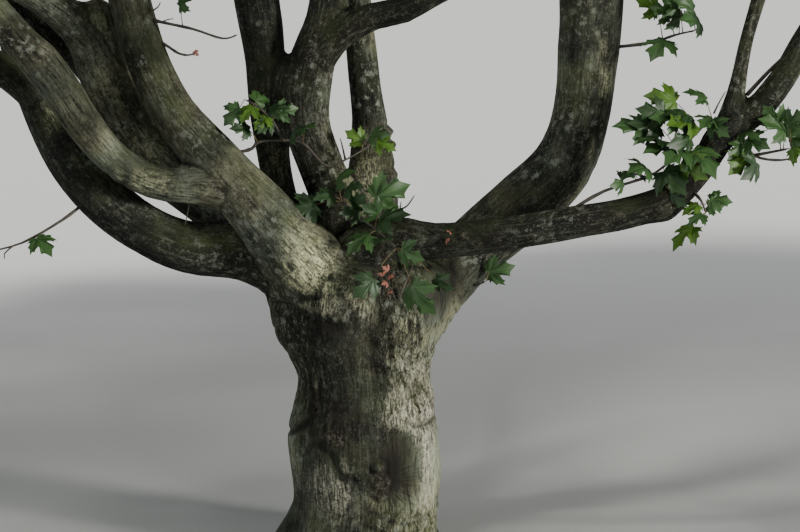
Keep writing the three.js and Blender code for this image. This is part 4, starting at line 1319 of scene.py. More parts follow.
# Radii of twigs by the sprays they bear, their sway as a share of their length, and how they join
TWIG = {
    "most": 24, "per_load": 5.5, "least_load": 0.3, "tip": 4.2, "onward": 0.7, "of_parent": 0.85,
    "of_limb": 0.94, "sway": 0.16, "sag": 0.7, "overrun": 0.03, "sunk": 30,
}
# How many places the tube of each kind of twig runs through
TWIG_STEPS = {"fine": 5, "large": 6}
# Shoots of a spray: radii of the axis and side shoots, how they bend, and where shoots and leaves start
SHOOT = {
    "axis": (4.4, 1.2), "side": (2.6, 1.0), "turn": math.radians(52), "hang": 0.12, "sway": 0.16,
    "width": 0.56, "taper": (1.05, 0.72), "vary": (0.85, 1.1), "bow": 0.05, "tilt": 0.5,
    "side_at": 0.35, "leaf_at": 0.7,
}
# Pairs of side shoots of a spray, and the places of its axis and of each side shoot
SHOOT_COUNTS = {"fine": (3, 4, 2), "large": (5, 6, 3)}
LEAF_SHARES = {"fine": (0.45, 0.85), "large": (0.3, 0.6, 0.88)}
LEAF_SIZE = 128
LEAF_VARY = (0.8, 1.12)
# How the leaves of a pair are held, and the one at the end of a shoot
PAIR = {"along": 0.45, "across": 0.8, "hang": 0.35, "sway": 0.7, "face_sway": 0.9}
END_LEAF = {"hang": 0.3, "sway": 0.4, "face_sway": 0.6, "size": 1.1}
LEAF_EDGE = [(0, 0), (0.36, -0.1), (0.27, 0.15), (0.54, 0.42), (0.21, 0.5), (0, 0.98)]
LEAF_MIDDLE = 0.26
LEAF_STALK = {"long": 0.42, "half": 1.6}
LEAF_LIFT = {"fold": 0.13, "cup": 0.42}
# Where leaves are tested, in sizes from their node, with the room kept to the limbs there
LEAF_ROOM = {"middle": (0.8, 30), "tip": (1.4, 12)}
LEAF_MARGIN = 2
OVERHANG = 150
CROWN_TINTS = {
    "deep": ((0.032, 0.085, 0.018), 0.26),
    "mid": ((0.048, 0.125, 0.022), 0.3),
    "cool": ((0.045, 0.12, 0.035), 0.16),
    "fresh": ((0.075, 0.17, 0.026), 0.18),
    "lit": ((0.115, 0.215, 0.032), 0.1),
}


def wider(mass):
    """A mass with the room for its finer sprays and leaves."""
    return {**mass, "half": mass["half"] + FINE_SPRAYS["more"]}


def fine_twigs(mass, twigs, lines):
    """Finer twigs with smaller sprays, by the same rule and between the source's."""
    random = seeded(mass["seed"] + SEEDS["finer"])
    mass = wider(mass)
    aims = spray_aims(mass, FINE_SPRAYS["count"], random)
    grown = list(twigs)
    for aim in aims:
        share = mix(*FINE_SPRAYS["shares"], random() ** FINE_SPRAYS["power"])
        for _ in range(FINE_SPRAYS["tries"]):
            to = mass["middle"] + aim["out"] * reach_along(mass, aim["out"]) * share
            share -= FINE_SPRAYS["let_in"]
            spot = in_space(mass, to) and best_spot(to, grown, mass, lines, FINE_SPRAYS["least"])
            if not spot:
                continue
            spray = spray_at(spot[0], to, aim, mass["scale"] * FINE_SPRAYS["scale"])
            if spray_fits(spray, mass, lines):
                grown.append({"from": spot[0], "to": to, "parent": spot[1], "spray": spray, "fine": True})
                break
    return grown


def bent(start, to, sway, steps):
    """A gently bent line of places."""
    t = np.linspace(0, 1, steps)[:, None]
    middle = mix(start, to, 0.5) + sway
    return (1 - t) ** 2 * start + 2 * t * (1 - t) * middle + t * t * to


def twig_radius(load):
    """The radius of a twig that bears a load of sprays."""
    return min(TWIG["most"], TWIG["per_load"] * max(load, TWIG["least_load"]) ** 0.5)


def twig_tubes(twigs, limb_radius, random):
    """Tubes for the twigs of a mass, each from a place on its parent's own tube."""
    loads = [0.0] * len(twigs)
    for k in range(len(twigs) - 1, -1, -1):
        twig = twigs[k]
        loads[k] += LOAD["fine" if "fine" in twig else "large"] if "spray" in twig else 0
        if twig["parent"] >= 0:
            loads[twig["parent"]] += loads[k]
    tubes = []
    for k, twig in enumerate(twigs):
        radius = twig_radius(loads[k])
        end = TWIG["tip"] if "spray" in twig else twig_radius(loads[k] * TWIG["onward"])
        start = twig["from"]
        if twig["parent"] >= 0:
            parent = twigs[twig["parent"]]
            share = np.linalg.norm(start - parent["from"]) / np.linalg.norm(parent["to"] - parent["from"])
            start = curve_at(parent["line"], share * (len(parent["line"]) - 1))
            radius = min(radius, TWIG["of_parent"] * parent["radius"])
        else:
            radius = max(radius, TWIG["of_limb"] * limb_radius)
        span = np.linalg.norm(twig["to"] - start)
        sway = np.array([random() - 0.5, random() - 0.5, random() - TWIG["sag"]]) * TWIG["sway"] * span
        steps = TWIG_STEPS["fine" if "fine" in twig else "large"]
        twig["line"] = bent(start, twig["to"], sway, steps)
        twig["radius"] = radius
        radii = np.linspace(radius, end, steps)
        tubes.append((twig["line"], radii, SIDES["stem" if k < len(STEM) else "twig"]))
        if k < len(STEM):
            cap = np.array([twig["to"], twig["to"] + (twig["to"] - start) * TWIG["overrun"]])
            tubes.append((cap, [end, 0], SIDES["stem"]))
    return tubes


def jitter(random):
    """Three seeded numbers from -0.5 to 0.5."""
    return np.array([random() - 0.5 for _ in range(3)])


def leaf_pairs(line, shares, face, random):
    """Pairs of opposite leaves along a shoot: node, direction, face and size each."""
    leaves = []
    ray = unit(line[-1] - line[0])
    across = unit(np.cross(ray, face))
    for share in shares:
        node = curve_at(line, share * (len(line) - 1))
        for sign in (-1, 1):
            sway = jitter(random)
            out = PAIR["along"] * ray + sign * PAIR["across"] * across - PAIR["hang"] * UP
            out = unit(out + PAIR["sway"] * sway)
            leaves.append((node, out, face + PAIR["face_sway"] * sway, mix(*LEAF_VARY, random())))
    sway = jitter(random)
    out = unit(ray - END_LEAF["hang"] * UP + END_LEAF["sway"] * sway)
    leaves.append((line[-1], out, face + END_LEAF["face_sway"] * sway, END_LEAF["size"]))
    return leaves


def lay_spray(spray, fine, random):
    """The shoots and leaves of a spray: an axis with opposite side shoots, hanging a little."""
    kind = "fine" if fine else "large"
    nodes, steps, side_steps = SHOOT_COUNTS[kind]
    root, ray, face = spray["root"], spray["ray"], spray["face"]
    across, length = np.cross(ray, face), spray["length"]
    t = np.linspace(0, 1, steps)[:, None]
    sway = (random() - 0.5) * SHOOT["sway"]
    axis = root + (ray * t + across * sway * t * (1 - t) * 2 - UP * SHOOT["hang"] * t * t) * length
    tubes = [(axis, np.linspace(*SHOOT["axis"], steps), SIDES["shoot"])]
    on_axis = [(k + SHOOT["leaf_at"]) / nodes for k in range(1, nodes)]
    leaves = leaf_pairs(axis, on_axis, face, random)
    widest, taper = SHOOT["taper"]
    for k in range(nodes):
        share = (k + SHOOT["side_at"]) / nodes
        start = curve_at(axis, share * (steps - 1))
        tilt = (1 if k % 2 else -1) * SHOOT["tilt"] * random()
        for sign in (-1, 1):
            side = sign * across * math.cos(tilt) + face * math.sin(tilt)
            out = unit(ray * math.cos(SHOOT["turn"]) + side * math.sin(SHOOT["turn"]))
            vary = mix(*SHOOT["vary"], random())
            reach = SHOOT["width"] * spray["width"] * (widest - taper * share) * vary
            end = start + out * reach - UP * SHOOT["hang"] * reach
            line = bent(start, end, UP * SHOOT["bow"] * reach, side_steps)
            tubes.append((line, np.linspace(*SHOOT["side"], side_steps), SIDES["shoot"]))
            leaves += leaf_pairs(line, LEAF_SHARES[kind], face, random)
    return tubes, leaves


def leaf_skins(leaves):
    """Lobed leaves of a few faces with thin stalks, from arrays of their places."""
    edge = np.array(LEAF_EDGE, float)
    rim = np.concatenate([edge, edge[-2:0:-1] * [-1, 1], [[0, LEAF_MIDDLE]]])
    node, ray, face, size = leaves
    face = unit(face - ray * dot(face, ray)[:, None])
    across = np.cross(ray, face)
    base = node + ray * (LEAF_STALK["long"] * size)[:, None]
    off_middle = rim[:, 0] ** 2 + (rim[:, 1] - LEAF_MIDDLE) ** 2
    lift = LEAF_LIFT["fold"] * np.abs(rim[:, 0]) - LEAF_LIFT["cup"] * off_middle
    scale = size[:, None, None]
    points = base[:, None] + scale * (
        rim[:, :1] * across[:, None] + rim[:, 1:] * ray[:, None] + lift[:, None] * face[:, None])
    thick = across[:, None] * np.array([-LEAF_STALK["half"], LEAF_STALK["half"]])[:, None]
    points = np.concatenate([points, node[:, None] + thick], axis=1)
    last = len(rim) - 1
    faces = [(k, (k + 1) % last, last) for k in range(last)] + [(last + 1, last + 2, 0)]
    faces = np.array(faces) + np.arange(len(node))[:, None, None] * points.shape[1]
    return points, faces


def in_box(places):
    """Whether places are inside the box of the solids and a little more."""
    low, high = np.array(CAD_BOX) / MM
    return ((places > low - OVERHANG) & (places < high + OVERHANG)).all(axis=-1)


def leaves_that_fit(leaves, mass, lines):
    """Leaves that keep to their mass's space and clear of the limbs."""
    node, ray, _, size = leaves
    space = wider(mass)
    kept = in_box(node + ray * (LEAF_ROOM["tip"][0] * size)[:, None])
    for share, room in LEAF_ROOM.values():
        place = node + ray * (share * size)[:, None]
        kept &= in_space(space, place, LEAF_MARGIN) & (clearance(place, lines) > room)
    return tuple(values[kept] for values in leaves)


def add_crown(masses, limbs, lines, bark, leaf_materials):
    """Twigs and leaves of all masses, joined by kind and tint."""
    random = seeded(SEEDS["crown"])
    tubes, by_tint = [], {name: [] for name in CROWN_TINTS}
    limits = np.cumsum([share for _, share in CROWN_TINTS.values()])
    for name, mass in masses.items():
        limb = next(limb for limb in limbs if limb["feeds"] == name)
        twigs = fine_twigs(mass, grow_twigs(mass, limb, lines), lines)
        heading = directions(limb["rows"][:, :3])[-1]
        twigs[0]["from"] = limb["rows"][-1][:3] - heading * TWIG["sunk"]
        tubes += twig_tubes(twigs, limb["rows"][-1][3], random)
        for twig in twigs[len(STEM):]:
            shoots, leaves = lay_spray(twig["spray"], "fine" in twig, random)
            tubes += [shoot for shoot in shoots if in_box(shoot[0][-1])]
            arrays = [np.array(values, float) for values in zip(*leaves)]
            arrays[3] *= LEAF_SIZE
            chosen = list(CROWN_TINTS)[min(int(np.searchsorted(limits, random())), len(limits) - 1)]
            by_tint[chosen].append(leaves_that_fit(arrays, mass, lines))
    nodes = [f"foliage_{name}" for name in masses]
    points, faces = joined_tubes(tubes)
    add_piece("crown_twigs", points, faces, bark, "bark", nodes)
    for tint, groups in by_tint.items():
        leaves = tuple(np.concatenate([group[k] for group in groups]) for k in range(4))
        points, faces = (part.reshape(-1, 3) for part in leaf_skins(leaves))
        add_piece(f"crown_leaves_{tint}", points, faces, leaf_materials[tint], "foliage", nodes)


# Sprigs of single leaves on the lower boughs

# Radii of a sprig's twig, thicker at its nodes, and steps between its places
SPRIG_TWIG = {"root": 4.6, "tip": 1.7, "node": 1.22, "steps": 4}
SHOOT_STEPS = 3
# Size of the leaves of each sprig, as a share of the widths given
SPRIG_SIZES = {"centre": 0.7, "under": 0.9, "level": 0.96, "top_right": 0.9}
SPRIG_SIZE = 0.84
SPRIGS = {
    "centre": (
        [
            [
                (-385, -46, 1002), (-320, -44, 1004), (-281, -42, 1013), (-262, -42, 1030),
                (-198, -44, 1034), (-153, -44, 1026), (-112, -42, 982), (-86, -38, 970),
                (-45, -30, 987), (4, -10, 1015), (14, 8, 1031),
            ],
            [(-204, -44, 1034), (-214, -52, 1057), (-229, -58, 1083), (-262, -60, 1117), (-296, -58, 1136)],
        ],
        [
            (-324, -60, 1099, 84), (-300, -80, 1066, 74), (-263, -50, 1124, 79), (-196, -50, 1108, 74),
            (-168, -75, 1058, 84), (-24, -20, 1040, 69), (46, -10, 1021, 74),
        ],
    ),
    "fork": (
        [[(-90, 20, 905), (-56, -62, 883), (-8, -95, 845), (29, -125, 820), (78, -150, 780)]],
        [
            (-58, -70, 944, 76), (56, -90, 910, 108), (-23, -125, 893, 70), (-151, -95, 870, 93),
            (51, -140, 839, 98), (-12, -165, 800, 88), (107, -185, 771, 75), (131, -195, 664, 104),
            (187, -175, 696, 60), (3, -205, 695, 78),
        ],
    ),
    "level": (
        [[(485, -105, 856), (585, -90, 913), (709, -100, 959), (792, -112, 1041), (844, -115, 1096)]],
        [
            (726, -125, 1144, 80), (809, -120, 1152, 62), (656, -135, 1076, 90), (696, -165, 1050, 77),
            (772, -175, 1046, 92), (763, -145, 1109, 72), (852, -160, 1076, 60), (741, -170, 953, 92),
            (669, -155, 978, 75), (620, -145, 938, 56),
        ],
    ),
    "under": (
        [[(793, -120, 921), (814, -162, 899), (826, -170, 868)]],
        [(772, -190, 820, 84), (802, -198, 862, 54), (847, -160, 883, 52)],
    ),
    "edge": (
        [
            [(908, -102, 1058), (951, -90, 1001), (1021, -85, 989), (1065, -80, 1003)],
            [(951, -90, 1001), (1041, -110, 1021)],
        ],
        [(912, -150, 992, 88), (944, -150, 1040, 78), (1000, -135, 1078, 97), (1052, -120, 1060, 83)],
    ),
    "top_right": (
        [[(600, 152, 1250), (715, 130, 1265), (778, 110, 1286), (828, 98, 1298)]],
        [(736, 85, 1264, 92), (711, 100, 1361, 74), (767, 80, 1338, 78), (820, 65, 1322, 86)],
    ),
    "left": (
        [[(-700, -15, 875), (-749, -60, 838), (-845, -90, 785), (-940, -105, 762)]],
        [(-792, -110, 786, 76)],
    ),
    "right": (
        [[(235, 70, 690), (265, 30, 662), (302, 10, 676)]],
        [(330, 0, 704, 80)],
    ),
    "upright": (
        [
            [(-540, -10, 1333), (-500, -40, 1324), (-420, -66, 1308), (-347, -82, 1286), (-309, -90, 1296)],
            [(-520, -15, 1280), (-488, -32, 1266), (-460, -44, 1249), (-437, -54, 1244), (-416, -60, 1248)],
        ],
        [(-440, -80, 1378, 68)],
    ),
}

# Short shoots and spurs on the bark: places they run through, radius at the root and at the tip
SHOOTS = [
    ([(114, -150, 735), (96, -188, 695), (78, -196, 658), (63, -192, 690)], 3.2, 1.2),
    ([(70, -95, 843), (84, -112, 868), (103, -120, 881), (122, -124, 909)], 3.0, 1.6),
    ([(84, -112, 868), (86, -122, 880), (88, -126, 893)], 2.2, 1.2),
    ([(-51, -10, 985), (-57, -40, 1018), (-63, -46, 1042)], 3.0, 1.2),
    ([(56, -120, 725), (54, -175, 706), (60, -192, 680)], 2.2, 1.0),
    ([(199, -70, 793), (198, -120, 806), (204, -150, 824)], 2.2, 1.0),
    ([(930, -98, 1150), (985, -75, 1205), (1031, -60, 1246)], 5.5, 4.0),
    ([(-500, -40, 1324), (-480, -46, 1331), (-466, -50, 1332)], 1.8, 1.0),
    ([(-520, -30, 1352), (-506, -42, 1362), (-500, -46, 1374)], 2.2, 1.2),
    ([(-868, -96, 777), (-886, -104, 760), (-884, -108, 746)], 2.4, 1.1),
    ([(-80, -36, 970), (-60, -52, 965), (-48, -60, 958)], 1.6, 0.9),
    ([(849, -105, 1105), (862, -112, 1135), (877, -115, 1162)], 2.6, 1.1),
    ([(-430, -75, 900), (-436, -70, 868), (-446, -68, 822)], 2.4, 1.0),
    ([(468, -110, 842), (520, -70, 872), (582, -42, 905)], 3.6, 1.3),
    ([(930, -92, 1140), (915, -80, 1170), (890, -72, 1188)], 3.4, 1.4),
]

# The rim of a leaf of a sprig, right half: across and along as shares of its width
BLADE = [
    (0, 0), (0.1, -0.06), (0.2, -0.1), (0.29, -0.15), (0.29, -0.06), (0.42, -0.05), (0.33, 0.05),
    (0.41, 0.11), (0.54, 0.17), (0.5, 0.27), (0.56, 0.35), (0.63, 0.48), (0.5, 0.44), (0.46, 0.54),
    (0.34, 0.46), (0.2, 0.44), (0.2, 0.56), (0.23, 0.66), (0.32, 0.77), (0.18, 0.8), (0.1, 0.9),
    (0, 1.04),
]
BLADE_VEINS = (5, 11, 21)
BLADE_HEART = (0, 0.03)
BLADE_RINGS = (0.3, 0.62, 0.85, 1)
# The brightest green is painted light shining through the leaves
SPRIG_TINTS = {
    "deep": (0.02, 0.052, 0.014),
    "mid": (0.036, 0.09, 0.022),
    "lit_through": (0.066, 0.145, 0.013),
    "red": (0.31, 0.12, 0.085),
}

# Leaves of the sprigs beyond the source's, placed in the same way
MORE_LEAVES = {
    "centre": [
        (-250, -80, 1088, 70), (-228, -62, 1104, 74), (-243, -90, 1074, 66), (-284, -78, 1110, 72),
        (-140, -88, 1072, 62), (28, -34, 1048, 78),
    ],
    "fork": [
        (-30, -130, 867, 70), (20, -165, 872, 72), (-96, -100, 902, 62),
        (-34, -110, 925, 66), (40, -170, 806, 60),
    ],
    "level": [
        (830, -150, 1092, 66), (815, -178, 1002, 96), (752, -188, 1018, 88), (752, -165, 905, 56),
        (700, -150, 1110, 74), (735, -150, 1100, 78), (690, -140, 1082, 84), (772, -165, 1092, 84),
        (650, -140, 962, 72), (790, -178, 980, 78), (712, -165, 1028, 80),
    ],
    "under": [(858, -165, 900, 60), (800, -170, 884, 52)],
    "edge": [
        (940, -158, 975, 84), (1050, -130, 1018, 80), (990, -130, 1098, 78), (1040, -145, 1092, 70),
        (930, -150, 1060, 66), (905, -140, 1018, 72), (1062, -120, 1046, 76),
    ],
    "top_right": [(765, 60, 1370, 72), (742, 75, 1346, 66), (800, 60, 1362, 70)],
}

# Small red leaves that unfold on the bark near the fork: middle and width
RED_LEAVES = [
    (52, -196, 735, 20), (42, -197, 722, 16), (62, -197, 717, 17), (50, -199, 700, 18),
    (60, -200, 680, 14), (199, -152, 799, 16), (205, -154, 822, 14), (-414, -62, 1249, 16),
]
# Shares of the leaves of a sprig that are deep green, and deep or mid green
SPRIG_SHARES = {"level": (0.36, 0.78), "under": (0.2, 0.5), "edge": (0.3, 0.66), "fork": (0.35, 1.0)}
SPRIG_SHARE = (0.3, 0.75)
# Radii of a stalk from the twig to the leaf
STALK_RADII = (1.7, 1.3, 1.1, 1.0, 1.0, 1.0, 0.9)
# Where on the straight pieces of a twig stalks may start
ON_TWIG = (0.1, 0.98)
# How a leaf of a sprig is held on its stalk, how it faces, and how it cups, folds and waves
SPRIG_LEAF = {
    "stalk": 0.62, "rise": 0.12, "ahead": 0.9, "aside": 0.45, "forward": 0.12, "hang": 0.3,
    "base": 0.4, "face_turn": 1.3, "face_up": (0.1, 0.85), "tilt": 0.6, "tilt_by": (37, 11),
    "cup": 0.42, "fold": 0.35, "flatter": 0.5, "wave": 0.02, "wave_by": (9, 7),
}


def nearest_on_twigs(place, twigs):
    """The nearest place on a sprig's twigs to a leaf."""
    best = (math.inf, None)
    for twig in twigs:
        for a, b in zip(twig, twig[1:]):
            t = np.clip((place - a) @ (b - a) / ((b - a) @ (b - a)), *ON_TWIG)
            p = a + (b - a) * t
            far = np.linalg.norm(p - place)
            if far < best[0]:
                best = (far, p)
    return best[1]


def blade_map():
    """The rings of a blade, how far each place is from a vein, and the triangles."""
    right = np.array(BLADE, float)
    rim = np.concatenate([right, right[-2:0:-1] * [-1, 1]])
    heart = np.array(BLADE_HEART)
    along = [unit(right[k] - heart) for k in BLADE_VEINS]
    veins = along + [ray * [-1, 1] for ray in along[:2]]
    rings = np.concatenate([heart + (rim - heart) * share for share in BLADE_RINGS] + [[heart]])
    away = rings - heart
    off = np.min([np.where(away @ ray > 0, np.abs(away @ [ray[1], -ray[0]]), 1) for ray in veins], axis=0)
    off[-1] = 0
    count, last = len(rim), len(rings) - 1
    faces = [(k, (k + 1) % count, last) for k in range(count)]
    for row in range(len(BLADE_RINGS) - 1):
        for k in range(count):
            a, b = row * count + k, row * count + (k + 1) % count
            faces += [(a, a + count, b), (b, a + count, b + count)]
    return rings, off, np.array(faces)


def sprig_leaf(row, twigs, random, blade):
    """A leaf of a sprig as in the source, with its stalk as a bent tube."""
    rings, off, _ = blade
    place, width = np.array(row[:3], float), row[3]
    start = nearest_on_twigs(place, twigs)
    away = place - start
    far = np.linalg.norm(away)
    away *= max(far, SPRIG_LEAF["stalk"] * width) / far
    middle = start + away
    ray = SPRIG_LEAF["ahead"] * unit(away)
    aside = SPRIG_LEAF["aside"] * np.sign(ray[0])
    ray = unit(ray + [aside, -SPRIG_LEAF["forward"], -SPRIG_LEAF["hang"]])
    up, more = SPRIG_LEAF["face_up"]
    face = np.array([SPRIG_LEAF["face_turn"] * (random() - 0.5), -1.0, up + more * random()])
    face = unit(face - ray * (face @ ray))
    across = np.cross(ray, face)
    by_x, by_z = SPRIG_LEAF["tilt_by"]
    tilt = SPRIG_LEAF["tilt"] * math.sin(by_x * place[0] + by_z * place[2])
    flat, steep = math.cos(tilt), math.sin(tilt)
    across, face = across * flat + face * steep, face * flat - across * steep
    base = middle - SPRIG_LEAF["base"] * width * ray
    u, v = rings[:, 0], rings[:, 1]
    lift = -SPRIG_LEAF["cup"] * (u * u + (v - LEAF_MIDDLE) ** 2)
    lift += SPRIG_LEAF["fold"] * off * (1 - SPRIG_LEAF["flatter"] * np.hypot(u, v))
    by_u, by_v = SPRIG_LEAF["wave_by"]
    lift += SPRIG_LEAF["wave"] * np.sin(by_u * u + by_v * v + place[0])
    points = base + width * (u[:, None] * across + v[:, None] * ray + lift[:, None] * face)
    heart = points[-1]
    rise = UP * SPRIG_LEAF["rise"] * np.linalg.norm(heart - start)
    stalk = bent(start, heart, rise, len(STALK_RADII))
    return points, (stalk, np.array(STALK_RADII), SIDES["stalk"])


def add_sprigs(bark, stalk_material, leaf_materials):
    """Twigs, stalks and leaves of the sprigs, and the short shoots on the bark."""
    blade = blade_map()
    twig_lines, stalks = [], []
    by_tint = {name: [] for name in SPRIG_TINTS}
    deal = seeded(SEEDS["sprig_tints"])
    for k, (name, (twigs, leaves)) in enumerate(SPRIGS.items()):
        random = seeded(SEEDS["sprig"] + k)
        twigs = [np.array(twig, float) for twig in twigs]
        for twig in twigs:
            line = smooth_line(twig, SPRIG_TWIG["steps"])
            radii = np.linspace(SPRIG_TWIG["root"], SPRIG_TWIG["tip"], len(line))
            radii[SPRIG_TWIG["steps"] - 1::SPRIG_TWIG["steps"]] *= SPRIG_TWIG["node"]
            twig_lines.append((line, radii, SIDES["sprig_twig"]))
        low, high = SPRIG_SHARES.get(name, SPRIG_SHARE)
        size = SPRIG_SIZES.get(name, SPRIG_SIZE)
        for *place, width in leaves + MORE_LEAVES.get(name, []):
            points, stalk = sprig_leaf((*place, size * width), twigs, random, blade)
            draw = deal()
            tint = "deep" if draw < low else "mid" if draw < high else "lit_through"
            by_tint[tint].append(points)
            stalks.append(stalk)
    anchors = [[np.array(places[-2:], float)] for places, _, _ in SHOOTS]
    for row in RED_LEAVES:
        near = min(anchors, key=lambda twig: np.linalg.norm(twig[0].mean(axis=0) - row[:3]))
        by_tint["red"].append(sprig_leaf(row, near, deal, blade)[0])
    for places, root, tip in SHOOTS:
        line = smooth_line(np.array(places, float), SHOOT_STEPS)
        twig_lines.append((line, np.linspace(root, tip, len(line)), SIDES["spur"]))
    nodes = [f"sprig_{name}" for name in SPRIGS]
    add_piece("sprig_twigs", *joined_tubes(twig_lines), bark, "bark", nodes)
    add_piece("sprig_stalks", *joined_tubes(stalks), stalk_material, "leaf", nodes)
    _, off, triangles = blade
    for tint, blades in by_tint.items():
        points = np.concatenate(blades)
        faces = (triangles + np.arange(len(blades))[:, None, None] * len(off)).reshape(-1, 3)
        facts = {"off": np.tile(off, len(blades))}
        add_piece(f"sprig_leaves_{tint}", points, faces, leaf_materials[tint], "leaf", nodes, facts)


# Materials

# Noise along the grain of the bark: size of its cells in metres, detail and roughness
GRAIN_NOISE = {
    "streak": ((0.008, 0.008, 0.11), 5, 0.65),
    "line": ((0.0045, 0.0045, 0.045), 3, 0.6),
    "flake": ((0.011, 0.011, 0.024), 5, 0.72),
    "wave": ((0.09, 0.09, 0.012), 4, 0.6),
}
# Noise in the bark without a direction: scale, detail and roughness
PLACE_NOISE = {
    "patch": (11, 5, 0.65), "speckle": (150, 3, 0.7), "hue": (6, 3, 0.55), "moss": (8, 5, 0.65),
    "mottle": (4.5, 3, 0.6), "zone": (5, 3, 0.55), "blotch": (52, 5, 0.62),
}
PLATES = {"cell": (0.012, 0.012, 0.032), "wobble": (0.014, 0.014, 0.02), "wobble_scale": 70}
LICHEN_SPOTS = 30
KNOT_RAYS = {"around": 17, "outward": 22, "detail": 2, "rough": 0.5}
# The sun and glare tints are painted sunlight and highlights; hollow is painted shade; crease darkens
# painted shade and the fissures
BARK_TINTS = {
    "deep_green": (0.0115, 0.0135, 0.0105), "deep_brown": (0.0145, 0.0138, 0.009),
    "light_green": (0.19, 0.216, 0.156), "light_brown": (0.207, 0.208, 0.132),
    "pale_streak": (0.196, 0.207, 0.155), "dark_streak": (0.007, 0.0075, 0.006),
    "dark_line": (0.006, 0.0065, 0.005), "flake": (0.262, 0.264, 0.2), "gap": (0.006, 0.006, 0.0045),
    "crack": (0.006, 0.0055, 0.0045), "pale_speck": (0.24, 0.25, 0.19), "dark_speck": (0.008, 0.008, 0.006),
    "moss": (0.05, 0.064, 0.022), "lichen": (0.22, 0.245, 0.2), "lichen_spot": (0.24, 0.26, 0.21),
    "sun_low": (0.4, 0.388, 0.295), "sun_high": (0.345, 0.35, 0.215),
    "glare_low": (0.6, 0.585, 0.47), "glare_high": (0.58, 0.58, 0.34),
    "wave": (0.008, 0.008, 0.006), "hollow": (0.034, 0.031, 0.017), "wrinkle": (0.006, 0.005, 0.0035),
    "crease": (0.008, 0.007, 0.005), "scab": (0.16, 0.14, 0.105),
}
# Heights in metres between which the sunlit bark turns from grey to yellow
SUN_TURNS = (0.58, 0.68)


class Nodes:
    """A material with one shader, and short calls for the kinds of node that feed it."""

    def __init__(self, name, roughness):
        self.material = bpy.data.materials.new(name)
        self.material.use_nodes = True
        self.tree = self.material.node_tree
        self.feed("Roughness", roughness)

    def put(self, socket, value):
        """A value or a link on an input."""
        if isinstance(value, bpy.types.NodeSocket):
            self.tree.links.new(value, socket)
        else:
            socket.default_value = value

    def feed(self, name, value):
        """A value or a link on an input of the shader."""
        self.put(self.tree.nodes["Principled BSDF"].inputs[name], value)

    def node(self, kind, inputs=None, **settings):
        """The outputs of a new node with its settings, and values or links on its inputs."""
        made = self.tree.nodes.new("ShaderNode" + kind)
        for key, value in settings.items():
            setattr(made, key, value)
        for key, value in (inputs or {}).items():
            self.put(made.inputs[key], value)
        return made.outputs

    def attribute(self, name, output="Fac"):
        return self.node("Attribute", attribute_name=name)[output]

    def place(self):
        return self.node("TexCoord")["Object"]

    def part(self, vector, axis):
        return self.node("SeparateXYZ", {0: vector})[axis]

    def stretched(self, vector, sizes):
        """A vector counted in steps of the given sizes."""
        return self.node("Mapping", {"Vector": vector, "Scale": [1 / size for size in sizes]})["Vector"]

    def pattern(self, vector, scale=1.0, detail=3.0, rough=0.55):
        """Noise from 0 to 1."""
        inputs = {"Vector": vector, "Scale": scale, "Detail": detail, "Roughness": rough}
        return self.node("TexNoise", inputs)["Fac"]

    def between(self, value, low, high, to_low=0.0, to_high=1.0):
        """A smooth step of a value."""
        inputs = {"Value": value, 1: low, 2: high, 3: to_low, 4: to_high}
        return self.node("MapRange", inputs, interpolation_type="SMOOTHSTEP")[0]

    def sums(self, kind, a, b):
        return self.node("Math", {0: a, 1: b}, operation=kind)[0]

    def plus(self, a, b):
        return self.sums("ADD", a, b)

    def less(self, a, b):
        return self.sums("SUBTRACT", a, b)

    def times(self, value, *others):
        """The product of values."""
        for other in others:
            value = self.sums("MULTIPLY", value, other)
        return value

    def blend(self, share, a, b, kind="MIX"):
        """One colour laid over another by a share."""
        a, b = (value if isinstance(value, bpy.types.NodeSocket) else (*value, 1) for value in (a, b))
        inputs = {0: share, 6: a, 7: b}
        return self.node("Mix", inputs, data_type="RGBA", blend_type=kind, clamp_factor=True)[2]

    def bump(self, layers):
        """A normal from layers of bumps: height, distance and strength each."""
        normal = None
        for height, distance, strength in layers:
            inputs = {"Height": height, "Distance": distance, "Strength": strength}
            if normal is not None:
                inputs["Normal"] = normal
            normal = self.node("Bump", inputs)["Normal"]
        self.feed("Normal", normal)


def knot_wrinkles(n, place):
    """Noise in thin rays round the knots."""
    across = n.less(n.part(place, "X"), KNOTS["x"] * MM)
    up = n.less(n.part(place, "Z"), KNOTS["z"] * MM)
    turn = n.times(n.sums("ARCTAN2", up, across), KNOT_RAYS["around"])
    far = n.sums("POWER", n.plus(n.times(across, across), n.times(up, up)), 0.5)
    rays = n.node("CombineXYZ", {0: turn, 1: n.times(far, KNOT_RAYS["outward"])})[0]
    return n.pattern(rays, 1, KNOT_RAYS["detail"], KNOT_RAYS["rough"])


def bark_plates(n, grain, place):
    """Long plates of bark: how near each place is to a crack, and a shade for each plate."""
    wobble = n.node("TexNoise", {"Vector": place, "Scale": PLATES["wobble_scale"], "Detail": 2})["Color"]
    inputs = {0: wobble, 1: PLATES["wobble"], 2: grain}
    bent_grain = n.node("VectorMath", inputs, operation="MULTIPLY_ADD")[0]
    inputs = {"Vector": n.stretched(bent_grain, PLATES["cell"]), "Scale": 1}
    edge = n.node("TexVoronoi", inputs, feature="DISTANCE_TO_EDGE")["Distance"]
    shade = n.node("TexVoronoi", inputs, feature="F1")["Color"]
    return edge, n.node("SeparateColor", {0: shade})[0]


